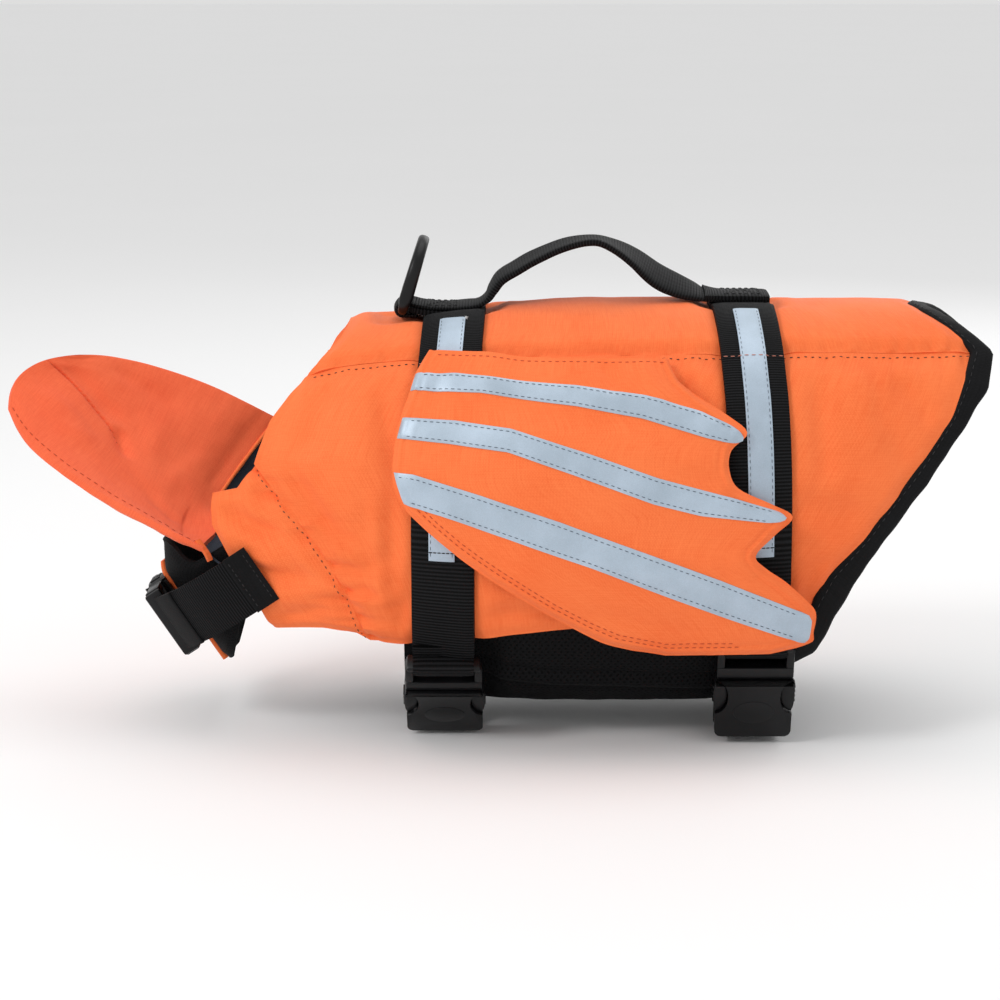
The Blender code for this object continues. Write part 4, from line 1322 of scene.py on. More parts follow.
@dataclass
class Straps:
    """The webbing over the back, its reflective tapes and their end stitching."""

    width: float = 25.5
    low: float = -1.2
    high: float = 2.4
    tape_width: float = 10.5
    tape_high: float = 3.35
    sewn_height: float = -124.0
    tape_from_spine: float = 27.0
    mean_radius: float = 82.0

    def band(self, name: str, width: float, low: float, high: float, start: float, end: float,
             turns: tuple[int, int], round_edge: float) -> bmesh.types.BMesh:
        """A strip round the body between two offsets.

        Args:
            name: the strap that it follows.
            width: its width.
            low: offset of its inner face.
            high: offset of its outer face.
            start: first angle, negative on the left.
            end: last angle.
            turns: faces along and across.
            round_edge: how far its long edges are rounded down.

        Returns:
            The mesh.
        """
        def place(u: float, v: float, depth: float) -> Vector:
            """A point of the strip."""
            v = crowd(v, 0.5)
            turn = start + (end - start) * u
            run = turn * NOISE_RADIUS
            top = high - round_edge * rim(v) + 0.12 * grain(run, v * 20, 9, 31)
            x = strap_x(name, turn) + (v - 0.5) * width + 0.12 * grain(run, 0, 14, 33)
            return TORSO.over(x, turn, top if depth < 0.5 else low)

        return Maker.wall(*turns, place, (abs(end - start) * self.mean_radius, width))

    def build(self) -> None:
        """Build straps, tapes, tails and stitches."""
        self.build_tails()
        self.build_knot()
        for name, (_, side_x, left_end, tape_end) in STRAP_LINES.items():
            start = -TORSO.angle_at(side_x, left_end)
            end = TORSO.angle_at(side_x, self.sewn_height)
            bm = self.band(name, self.width, self.low, self.high, start, end, (150, 10), 0.8)
            Maker.piece(name + "_strap_webbing", bm, BLACK_WEB, [name + "_strap"])
            tape_start = TORSO.angle_at(side_x, tape_end)
            reach = self.tape_from_spine / TORSO.section(side_x)[0]
            tape_stop = math.asin(reach ** (TORSO.roundness / 2))
            rows, edges = [], []
            for side in Side:
                node = "%s_tape_%s" % (name, side.label)
                bm = self.band(name, self.tape_width, 2.2, self.tape_high, side.value * tape_start,
                               side.value * tape_stop, (70, 6), 0.35)
                Maker.piece(node + "_film", bm, SILVER, [node])
                rows.append(self.cross_row(name, tape_start - 0.028, side.value))
                for share in (-0.42, 0.42):
                    edges.append(self.long_row(name, share * self.tape_width, tape_stop + 0.02,
                                               tape_start - 0.01, side.value))
            seams = [self.seam_row(name, side.value) for side in Side]
            Maker.seam(name + "_crossing_stitches", seams, PINK_THREAD, 2.9, 2.1, 0.42)
            Maker.seam(name + "_tape_end_stitches", rows, BLACK_THREAD, 1.6, 1.9, 0.6)
            Maker.seam(name + "_tape_edge_stitches", edges, GREY_THREAD, 2.6, 1.8, 0.32)

    def seam_row(self, name: str, side: float) -> Track:
        """The shoulder seam's thread where it crosses a strap and its tape.

        Args:
            name: the strap.
            side: the side's sign.

        Returns:
            The row.
        """
        turn = seam_angle(STRAP_LINES[name][0]) + 0.07
        places = []
        for share in shares(16):
            across = (share - 0.5) * self.width
            high = self.tape_high if abs(across) < self.tape_width / 2 else self.high
            places.append((strap_x(name, turn) + across, turn, high + 0.12))
        return TORSO.track(places, side)

    def build_knot(self) -> None:
        """A short end of white thread at the top of the left front tape."""
        here, out = TORSO.point(-56.8, 0.36, self.tape_high + 0.5, -1.0), Vector((0, -1, 0.3))
        bm = bmesh.new()
        for way in (Vector((1, 0, 0.4)), Vector((0.3, -0.4, 1)), Vector((-0.6, 0.2, 0.8))):
            start = here - way * 0.8
            Maker.stitches(bm, [(start, out), (here + way * 0.8, out)], 1.4, 2.0, 0.5)
        bm.loops.layers.uv.new("cloth")
        Maker.piece("thread_end", bm, WHITE_THREAD, recalc=False)

    def build_tails(self) -> None:
        """The webbing from each strap's left end over the plug's bar and into its slot."""
        for name, (_, side_x, left_end, _) in STRAP_LINES.items():
            angle = TORSO.angle_at(side_x, left_end)
            place = Underside().frame(name)
            middle = (self.high + 0.6) / 2
            ways = [TORSO.point(side_x, angle - back, middle) for back in (0.06, 0.02, -0.01)]
            local = ((-1.2, 3.6), (2.2, 4.4), (4.6, 3.4), (6.4, 1.2), (6.6, -2.0))
            ways += [place @ Vector((run, 0, rise)) for run, rise in local]
            bm = Maker.ribbon(ways, Vector((1, 0, 0)), self.width - 0.3, 1.8)
            Maker.piece(name + "_strap_tail_webbing", bm, BLACK_WEB)

    def cross_row(self, name: str, turn: float, side: float) -> Track:
        """A row of stitches across a tape."""
        ways = [strap_x(name, turn) + share * self.tape_width for share in (-0.5, 0.0, 0.5)]
        return TORSO.track([(x, turn, self.tape_high) for x in ways], side)

    def long_row(self, name: str, across: float, start: float, end: float, side: float) -> Track:
        """A row of stitches along a tape's edge.

        Args:
            name: the strap.
            across: distance from its middle line.
            start: first angle.
            end: last angle.
            side: the side's sign.

        Returns:
            The row.
        """
        turns = [start + (end - start) * share for share in shares(30)]
        high = self.tape_high - 0.05
        return TORSO.track([(strap_x(name, turn) + across, turn, high) for turn in turns], side)


@dataclass
class Wings:
    """A padded wing on each side, with three reflective stripes and its topstitching."""

    wall: float = 3.0
    seat: float = 0.4
    lift: float = 3.7
    top_drop: float = 4.8
    rows: Profile = Profile(tuple((i,) + row for i, row in enumerate((   # z, x_front, x_rear, stand_off
        (-7.5, -71, 25.5, 0.2), (-13, -74.5, 27, 0.8), (-19.5, -77.5, 30, 1.8), (-26, -79, 37, 3.0),
        (-32.5, -81.5, 47.5, 4.2), (-39.5, -83.5, 56, 5.4), (-46, -84.5, 49.5, 6.2), (-53, -85, 48.5, 7.0),
        (-60, -84.6, 52, 7.8), (-66, -82, 65, 8.3), (-71, -78, 73.5, 8.6), (-78, -70, 66.5, 9.0),
        (-86, -60, 59, 9.4), (-91, -53, 63, 9.6), (-96.5, -44.5, 71, 9.7), (-104, -32, 79.5, 9.7),
        (-109, -23.5, 83.5, 9.6), (-116.5, -9, 83, 9.4), (-121.5, 3, 81.5, 9.2), (-125.5, 24, 66, 9.0)))))
    middle: tuple[float, float] = (5.0, -66.0)
    top_row: tuple[float, ...] = (-68.0, 24.0, -13.8)   # first x, last x and height of the top stitches
    blunt: float = 2.2
    low_blunt: float = 7.0
    stripe_rise: float = 0.62
    stripes: tuple[tuple[str, tuple, tuple], ...] = (   # places of the upper and the lower edge
        ("upper", ((-77, -20), (-60, -19.6), (-12, -22.5), (15, -26), (38, -32), (55.5, -39.7)),
         ((-79, -25.8), (-50, -26), (-12, -30), (14, -34.5), (39, -41.5), (54, -44.5))),
        ("middle", ((-82, -35.5), (-60, -36), (-38, -38.5), (-8, -47), (20, -56), (50, -63.5), (72.5, -70)),
         ((-84, -43), (-62, -44.5), (-39, -47), (-13, -55), (18, -65.5), (37, -70), (69.5, -73.5))),
        ("lower", ((-85, -55.5), (-76, -56), (-49, -63), (-18, -72.5), (13, -83.5), (45, -95), (82.5, -110)),
         ((-80.5, -67), (-65, -71), (-39, -79), (-6, -90), (26, -102), (57, -113), (81.5, -121.5))))
    creases: tuple[Crease, ...] = laid(
        (-60, -50, -20, -58, 4.5, 1.0), (-46, -30, 10, -38, 5.0, -1.0), (-30, -82, 30, -96, 5.0, 1.0),
        (-62, -70, -36, -92, 4.5, -0.9), (10, -44, 40, -52, 4.5, 1.0), (10, -72, 56, -84, 4.5, -1.0),
        (-10, -108, 40, -116, 4.5, -0.9), (-66, -16, -70, -34, 4.0, -1.0), (14, -14, 24, -30, 3.5, 1.0),
        (-2, -14, 4, -24, 3.5, -0.9), (26, -84, 44, -92, 3.0, 0.8), (30, -54, 44, -60, 3.0, -0.8))

    def __post_init__(self) -> None:
        """Measure the free outline, and the stand-off by height."""
        last = len(self.rows.rows) - 1
        fronts = [(row[2], row[1]) for row in self.rows.rows]
        rears = [(row[3], row[1]) for row in self.rows.rows]
        self.last = last
        self.free = Edge(fronts + rears[::-1])
        self.off = Profile(tuple((-row[1], row[4]) for row in self.rows.rows))

    def base(self, x: float, z: float) -> float:
        """Distance of the wing's inner face from the body.

        Args:
            x: place along the vest.
            z: the height.

        Returns:
            The distance.
        """
        lift = 0.0
        for spine_x, side_x, _, _ in STRAP_LINES.values():
            lift += self.lift * (1 - soft((abs(x - (spine_x + side_x) / 2) - 14.75) / 18))
        return self.seat + lift * (1 - soft((-z - 8) / 30)) + self.off.at(-z)[0]

    def spot(self, u: float, v: float) -> Vector:
        """X and z in the wing.

        Args:
            u: share from front to rear.
            v: share from top to bottom.

        Returns:
            The place.
        """
        z, front, rear, _ = self.rows.at(v * self.last)
        lowered = self.top_drop * (1 - soft(v * self.last / 3.2))
        return Vector((front + (rear - front) * u, z - lowered))

    def outer(self, x: float, z: float) -> float:
        """Offset of the wing's outer face.

        Args:
            x: place along the vest.
            z: the height.

        Returns:
            The offset from the body.
        """
        away = self.free.distance(Vector((x, z)))
        fat = self.wall * (0.34 + 0.66 * soft(away / 3.2))
        fat -= 0.55 * bump(away - 4.3, 0.9)
        fat += 0.35 * math.exp(-away / 6.0) * grain(x, z, 4.5, 41.0)
        return self.base(x, z) + fat + 0.5 * grain(x, z, 22, 43.0) + folds(self.creases, x, z)

    def build_side(self, side: Side) -> None:
        """One wing, its stripes and its stitches.

        Args:
            side: the vest's side.
        """
        def place(u: float, v: float, depth: float) -> Vector:
            """A point of the wing."""
            spot = self.spot(crowd(u), v)
            offset = self.outer(*spot)
            if depth > 0.5:
                away = self.free.distance(spot)
                offset = self.base(*spot) + self.wall * 0.3 * (1 - soft(away / 3.0))
            return TORSO.side_point(spot.x, spot.y, offset, side.value)

        node = "wing_" + side.label
        piece = Maker.panel(node + "_cloth", (112, 95), place, (160, 120), ORANGE, node)
        stripes, rows = [], []
        for name, top, low in self.stripes:
            blunt = self.low_blunt if name == "lower" else self.blunt
            stripe = "wing_stripe_%s_%s" % (name, side.label)
            stripes.append(self.build_stripe(stripe, Edge(top), Edge(low), side, blunt))
            rows += [self.stripe_row(Edge(top), Edge(low), share, side) for share in (0.13, 0.87)]
        stitches = Maker.seam(node + "_stripe_stitches", rows, GREY_THREAD, 2.6, 1.9, 0.4)
        edge_rows = [self.edge_row(inside, side) for inside in (3.9, 5.6)]
        edge = Maker.seam(node + "_edge_stitches", edge_rows, ORANGE_THREAD, 2.9, 2.1, 0.45)
        first, last, height = self.top_row
        held = self.row([(first + (last - first) * share, height) for share in shares(46)], side)
        top = Maker.seam(node + "_top_stitches", [held], ORANGE_THREAD, 2.8, 1.8, 0.45)

    def row(self, places: Iterable[Sequence[float]], side: Side, rise: float = 0.05) -> Track:
        """Stitches just over the outer face, at places given as x and z."""
        return TORSO.side_track([(x, z, self.outer(x, z) + rise) for x, z in places], side.value)

    def edge_row(self, inside: float, side: Side) -> Track:
        """Topstitching a little inside the free edge, along its lower part.

        Args:
            inside: distance from the edge.
            side: the vest's side.

        Returns:
            The row.
        """
        places = []
        step = 0.004
        x, z = self.middle
        for share in shares(160):
            spot = self.free.at(share)
            toward = Vector(self.middle) - spot
            ahead = self.free.at(min(1.0, share + step)) - self.free.at(max(0.0, share - step))
            inward = Vector((-ahead.y, ahead.x)).normalized()
            if inward.dot(toward) < 0 and abs(inward.dot(toward.normalized())) > 0.2:
                inward.negate()
            place = spot + inward * inside
            low = place.y < z and place.x < x - 0.9 * (place.y - z)
            if low and self.free.distance(place) > inside - 0.8:
                places.append(place)
        return self.row(places, side)

    def stripe_row(self, top: Edge, low: Edge, share: float, side: Side) -> Track:
        """Stitches along a stripe, at a share of its width."""
        runs = [0.01 + 0.945 * run for run in shares(60)]
        return self.row([top.at(run).lerp(low.at(run), share) for run in runs], side, self.stripe_rise)

    def build_stripe(self, node: str, top: Edge, low: Edge, side: Side, blunt: float) -> bpy.types.Object:
        """A reflective stripe that follows the wing's face.

        Args:
            node: the frame's node.
            top: its upper edge.
            low: its lower edge.
            side: the vest's side.
            blunt: how square its rear end is.

        Returns:
            The object.
        """
        def place(u: float, v: float, depth: float) -> Vector:
            """A point of the stripe."""
            end = max(0.0, (u - 1) * top.length / 7.0 + 1)
            narrow = max(0.06, (1 - end ** blunt)) ** (1 / blunt)
            share = 0.5 + (crowd(v, 0.5) - 0.5) * narrow
            spot = top.at(0.004 + 0.992 * u).lerp(low.at(0.004 + 0.992 * u), share)
            offset = self.outer(*spot) + (0.6 - 0.25 * rim(v, 6) if depth < 0.5 else -0.25)
            return TORSO.side_point(spot.x, spot.y, offset, side.value)

        return Maker.panel(node + "_film", (110, 8), place, (top.length, 9), SILVER, node)

    def build(self) -> None:
        """Build both wings."""
        for side in Side:
            self.build_side(side)


@dataclass
class Grip:
    """The spine webbing: ring loop, flat run and grab handle."""

    width: float = 25.0
    bar: tuple[float, float] = (-84.3, 4.5)
    reach: float = 3.2
    layer: float = 1.7
    path: tuple[tuple[float, ...], ...] = (   # x, z, thickness, roll in degrees
        (-76.5, 6.7, 1.7, 0), (-70, 5.9, 1.7, 0), (-60, 6.0, 1.7, 0), (-52, 7.0, 2.0, 0),
        (-48.3, 9.4, 3.0, 0), (-46.6, 12.5, 3.4, 2), (-43.2, 17.2, 3.4, 4), (-36, 21.2, 3.2, 5),
        (-25, 26.8, 3.2, 4), (-14, 31, 3.2, 2), (-3, 32.4, 3.2, 0), (5, 30, 3.2, 4), (14, 25, 3.2, 11),
        (23, 18.6, 3.2, 16), (32, 14.2, 3.0, 15), (39.5, 11.6, 2.8, 9), (44.5, 10, 2.2, 3),
        (50, 9.2, 1.9, 0), (60, 9.1, 1.9, 0), (70.5, 9, 1.9, 0))

    def rows(self) -> Profile:
        """The webbing's way, from under the ring's bar to the sewn end.

        Returns:
            X, z, thickness and roll by run.
        """
        x, z = self.bar
        rows = [(x + 6, z - self.reach, 1.7, 0), (x + 3, z - self.reach, 1.7, 0)]
        for i in range(13):
            turn = math.radians(-90 - 15 * i)
            rows.append((x + self.reach * math.cos(turn), z + self.reach * math.sin(turn), 1.7, 0))
        rows.append((x + 3.5, z + self.reach - 0.1, 1.7, 0))
        rows += self.path
        keyed, run = [], 0.0
        for i, row in enumerate(rows):
            if i:
                run += math.hypot(row[0] - rows[i - 1][0], row[1] - rows[i - 1][1])
            keyed.append((run,) + tuple(row))
        return Profile(keyed)

    def frame(self, profile: Profile, run: float) -> tuple[Vector, Vector, Vector, float]:
        """Middle, across, up and thickness at a run along the webbing.

        Args:
            profile: the webbing's way.
            run: length along it.

        Returns:
            The four of them.
        """
        x, z, thick, roll = profile.at(run)
        x0, z0 = profile.at(max(run - 0.4, 0))[:2]
        x1, z1 = profile.at(min(run + 0.4, profile.keys[-1]))[:2]
        tangent = Vector((x1 - x0, 0, z1 - z0)).normalized()
        spin = Matrix.Rotation(math.radians(roll), 3, tangent)
        up = spin @ Vector((-tangent.z, 0, tangent.x))
        return Vector((x, 0, z)), spin @ Vector((0, 1, 0)), up, thick

    def sag(self, run: float) -> float:
        """How far the webbing's edges drop where it lies on the body, more by the ring."""
        return 0.7 + 0.2 * soft((run - 20) / 6) * (1 - soft((run - 43) / 8))

    def build(self) -> None:
        """Build the webbing and the stitching of its ends."""
        profile = self.rows()
        total = profile.keys[-1]

        def place(u: float, turn: float) -> Vector:
            """A point of the webbing."""
            run = u * total
            middle, across, up, thick = self.frame(profile, run)
            wide, high = swung(turn, 0.35, 0.45)
            side, height = wide * self.width / 2, high * thick / 2
            grip = soft((run - 58) / 20) * soft((total - 42 - run) / 30)
            height += (1.2 * grip - self.sag(run)) * (side / (self.width / 2)) ** 2
            return middle + across * side + up * (height + 0.12 * grain(run, side, 8, 51))

        bm = Maker.tube(230, 24, place, (total, 54))
        Maker.piece("handle_webbing", bm, BLACK_WEB, ["handle"])
        for word, start, end, low, high in (("rear", total - 27.5, total + 0.5, 0.5, 0.85 + self.layer),
                                            ("front", 19.0, 45.0, -3.3, -0.6)):
            place = self.folded(profile, start, end, low, high)
            Maker.panel("handle_%s_fold" % word, (44, 16), place, (end - start, self.width), BLACK_WEB)
        rows = []
        for start, end, rise in ((total - 19, total - 4, self.layer), (26.5, 38.5, 0.05)):
            corners = ((start, -9.5), (end, -9.5), (end, 9.5), (start, 9.5), (start, -9.5), (end, 9.5))
            rows.append(self.stitch_track(profile, corners, rise))
            rows.append(self.stitch_track(profile, ((start, 9.5), (end, -9.5)), rise))
        Maker.seam("handle_stitches", rows, BLACK_THREAD, 2.6, 1.9, 0.5)

    def folded(self, profile: Profile, start: float, end: float, low: float, high: float) -> Place:
        """The place of a second layer, over the rear end or, behind the ring, under the webbing.

        Args:
            profile: the webbing's way.
            start: run where it starts.
            end: run where it ends.
            low: height of its lower face.
            high: height of its upper face.

        Returns:
            The function.
        """
        def place(u: float, v: float, depth: float) -> Vector:
            """A point of the second layer."""
            u, v = crowd(u), crowd(v, 0.5)
            run = start + (end - start) * u
            middle, across, up, _ = self.frame(profile, run)
            near = 2 * v - 1
            edge = max(rim(u, 8), rim(v, 8))
            rise = (high - 0.5 * edge if depth < 0.5 else low) - self.sag(run) * near * near
            rise += 0.12 * grain(run, near * 12, 7, 55)
            return middle + across * near * (self.width / 2 + 0.3) + up * rise

        return place

    def stitch_track(self, profile: Profile, corners: Sequence[tuple[float, float]], rise: float) -> Track:
        """A row of stitches through places given as run and distance across.

        Args:
            profile: the webbing's way.
            corners: run and distance across of each place.
            rise: height over the webbing.

        Returns:
            The row.
        """
        track = []
        for (run0, side0), (run1, side1) in zip(corners, corners[1:]):
            for share in shares(5):
                run, side = run0 + (run1 - run0) * share, side0 + (side1 - side0) * share
                middle, across, up, thick = self.frame(profile, run)
                sunk = self.sag(run) * (side / (self.width / 2)) ** 2
                track.append((middle + across * side + up * (thick / 2 + rise - sunk), up))
        return track


@dataclass
class Ring:
    """The D of plastic rod whose straight bar lies in the webbing loop."""

    rod: float = 2.0
    inside: float = 27.5
    leg: float = 14.0
    corner: float = 3.0
    lean: float = 17.0
    leg_wide: float = 1.0
    axis: Vector = field(default_factory=lambda: Vector((-84.3, 0, 4.5)))

    def build(self) -> None:
        """Build the ring."""
        half = self.inside / 2 + self.rod
        points = [(-10.0, 0.0), (10.0, 0.0)]
        for i in range(7):
            turn = math.radians(-90 + 15 * i)
            points.append((half + self.corner * (math.cos(turn) - 1), self.corner * (1 + math.sin(turn))))
        for i in range(25):
            turn = math.radians(7.5 * i)
            points.append((half * math.cos(turn), self.leg + half * math.sin(turn)))
        for i in range(7):
            turn = math.radians(180 + 15 * i)
            points.append((-half + self.corner * (1 + math.cos(turn)), self.corner * (1 + math.sin(turn))))
        points.append(points[0])
        path = Edge(points)
        lean = Matrix.Rotation(math.radians(self.lean), 3, "Y")

        def place(u: float, turn: float) -> Vector:
            """A point of the rod."""
            share = u % 1.0
            y, z = path.at(share)
            ahead = path.at((share + 0.004) % 1.0) - path.at((share - 0.004) % 1.0)
            outward = Vector((0, ahead.y, -ahead.x)).normalized()
            flat, round_out = swung(turn, 0.8, 0.8)
            flat *= 1 + self.leg_wide / self.rod * soft(z / 6) * (1 - 0.6 * z / 30)
            spoke = Vector((flat, 0, 0)) + outward * round_out
            return self.axis + lean @ (Vector((0, y, z)) + spoke * self.rod)

        bm = Maker.tube(120, 16, place, (110, 12))
        Maker.piece("d_ring_plastic", bm, PLASTIC, ["d_ring"], Body.RING)


@dataclass
class Buckle:
    """A side-release buckle for the webbing, snapped shut."""

    length: float = 45.0
    width: float = 32.0
    wall: float = 10.0
    socket: float = 28.0
    notch_at: float = 25.0
    notch_long: float = 8.2
    notch_deep: float = 5.2
    corner: float = 3.0
    gap: float = 0.45

    def slab(self, bm: bmesh.types.BMesh, outline: Sequence[tuple[float, float]], low: float, high: float,
             bevel: float) -> None:
        """A flat part: an outline in run and width, through a thickness, with rounded edges.

        Args:
            bm: the mesh that takes it.
            outline: its corners in order.
            low: its lower face.
            high: its upper face.
            bevel: how far its edges are rounded.
        """
        verts = [bm.verts.new((run, across, low)) for run, across in outline]
        grown = bmesh.ops.extrude_face_region(bm, geom=[bm.faces.new(verts)], use_keep_orig=True)
        moved = [item for item in grown["geom"] if isinstance(item, bmesh.types.BMVert)]
        bmesh.ops.translate(bm, verts=moved, vec=(0, 0, high - low))
        own = set(verts) | set(moved)
        edges = [edge for edge in bm.edges if edge.verts[0] in own and edge.verts[1] in own]
        bmesh.ops.bevel(bm, geom=edges, offset=bevel, offset_type="OFFSET", segments=2, profile=0.5,
                        affect="EDGES", clamp_overlap=True, material=-1)

    def box(self, bm: bmesh.types.BMesh, low: Sequence[float], high: Sequence[float], bevel: float) -> None:
        """A straight bar with rounded edges."""
        outline = ((low[0], low[1]), (high[0], low[1]), (high[0], high[1]), (low[0], high[1]))
        self.slab(bm, outline, low[2], high[2], bevel)

    def arc(self, centre: tuple[float, float], size: tuple[float, float], start: float,
            end: float, steps: int = 10) -> list[tuple[float, float]]:
        """Places on part of an ellipse, by its turn in degrees."""
        turns = [math.radians(start + (end - start) * i / steps) for i in range(steps + 1)]
        return [(centre[0] + size[0] * math.cos(t), centre[1] + size[1] * math.sin(t)) for t in turns]

    def plate(self) -> list[tuple[float, float]]:
        """The socket's outline, with an oval notch in each side for the latches.

        Returns:
            Run and width of each corner.
        """
        half, corner, mouth = self.width / 2, self.corner, self.length - self.socket
        notch = (self.notch_long, self.notch_deep)
        outline = self.arc((mouth + 1.5, -half + 1.5), (1.5, 1.5), 180, 270, 3)
        outline += self.arc((self.notch_at, -half), notch, 180, 0)
        outline += self.arc((self.length - corner, -half + corner), (corner, corner), 270, 360, 5)
        outline += self.arc((self.length - corner, half - corner), (corner, corner), 0, 90, 5)
        outline += self.arc((self.notch_at, half), notch, 0, -180)
        return outline + self.arc((mouth + 1.5, half - 1.5), (1.5, 1.5), 90, 180, 3)

    def build_socket(self, stem: str, place: Matrix) -> None:
        """The half that takes the latches.

        Args:
            stem: the buckle's name.
            place: its frame.
        """
        half, top = self.width / 2, self.wall / 2
        inner = half - self.notch_deep - 1.2
        bm = bmesh.new()
        self.slab(bm, self.plate(), top - 2.3, top, 0.7)
        self.slab(bm, self.plate(), -top, -top + 2.3, 0.7)
        mouth = self.length - self.socket
        self.box(bm, (mouth + 1, -inner, -top + 1), (self.length - 9, inner, top - 1), 0.4)
        for low, high in ((-half + 0.7, -half + 4), (half - 4, half - 0.7)):
            self.box(bm, (self.notch_at + self.notch_long + 0.6, low, -top + 1),
                     (self.length - 1.5, high, top - 1), 0.5)
        for start, end in ((self.length - 9.4, self.length - 7), (self.length - 3, self.length - 0.6)):
            self.box(bm, (start, -half + 2.5, -top + 1.2), (end, half - 2.5, top - 1.2), 0.8)
        field = self.arc((self.length - 12.5, 0), (5.5, 8.5), 0, 360, 24)[:-1]
        self.slab(bm, field, top - 0.5, top + 0.22, 0.18)
        self.finish(stem + "_socket", bm, place)

    def build_plug(self, stem: str, place: Matrix) -> None:
        """The half with the latches.

        Args:
            stem: the buckle's name.
            place: its frame.
        """
        half, thick = self.width / 2, self.wall / 2 - 1.3
        root = self.length - self.socket - self.gap
        bm = bmesh.new()
        self.box(bm, (0, -half + 0.6, -thick), (3.6, half - 0.6, thick), 1.1)
        self.box(bm, (root - 5.6, -half, -thick), (root, half, thick), 0.9)
        self.box(bm, (2, -half, -thick + 0.4), (root - 3, -half + 3.4, thick - 0.4), 0.8)
        self.box(bm, (2, half - 3.4, -thick + 0.4), (root - 3, half, thick - 0.4), 0.8)
        self.box(bm, (5.4, -half + 3, -1.3), (8.2, half - 3, 1.3), 0.8)
        size = (self.notch_long - self.gap, self.notch_deep - self.gap)
        for side in (-1, 1):
            grip = self.arc((self.notch_at, side * half), size, 180, 180 + side * 180)
            grip += self.arc((self.notch_at, side * half), (size[0] - 1, 0.9), 0, side * 180, 8)
            self.slab(bm, grip, -thick + 0.3, thick - 0.1, 0.6)
            for i in range(4):
                run = self.notch_at - 4.2 + 2.3 * i
                low, high = sorted((side * (half + 0.2), side * (half + 1.25)))
                self.box(bm, (run, low, -thick + 1.2), (run + 1.0, high, thick - 1.2), 0.25)
        self.finish(stem + "_plug", bm, place)

    def build(self, stem: str, place: Matrix) -> None:
        """Build both halves.

        Args:
            stem: the buckle's name.
            place: its frame, whose X runs from plug to socket and whose Z points out.
        """
        self.build_socket(stem, place)
        self.build_plug(stem, place)

    def finish(self, node: str, bm: bmesh.types.BMesh, place: Matrix) -> None:
        """Set a half in its place and give it its plastic.

        Args:
            node: the frame's node.
            bm: its mesh.
            place: its frame.
        """
        bmesh.ops.transform(bm, matrix=place, verts=bm.verts)
        bm.loops.layers.uv.new("cloth")
        Maker.piece(node + "_plastic", bm, PLASTIC, [node], sharp=32.0)


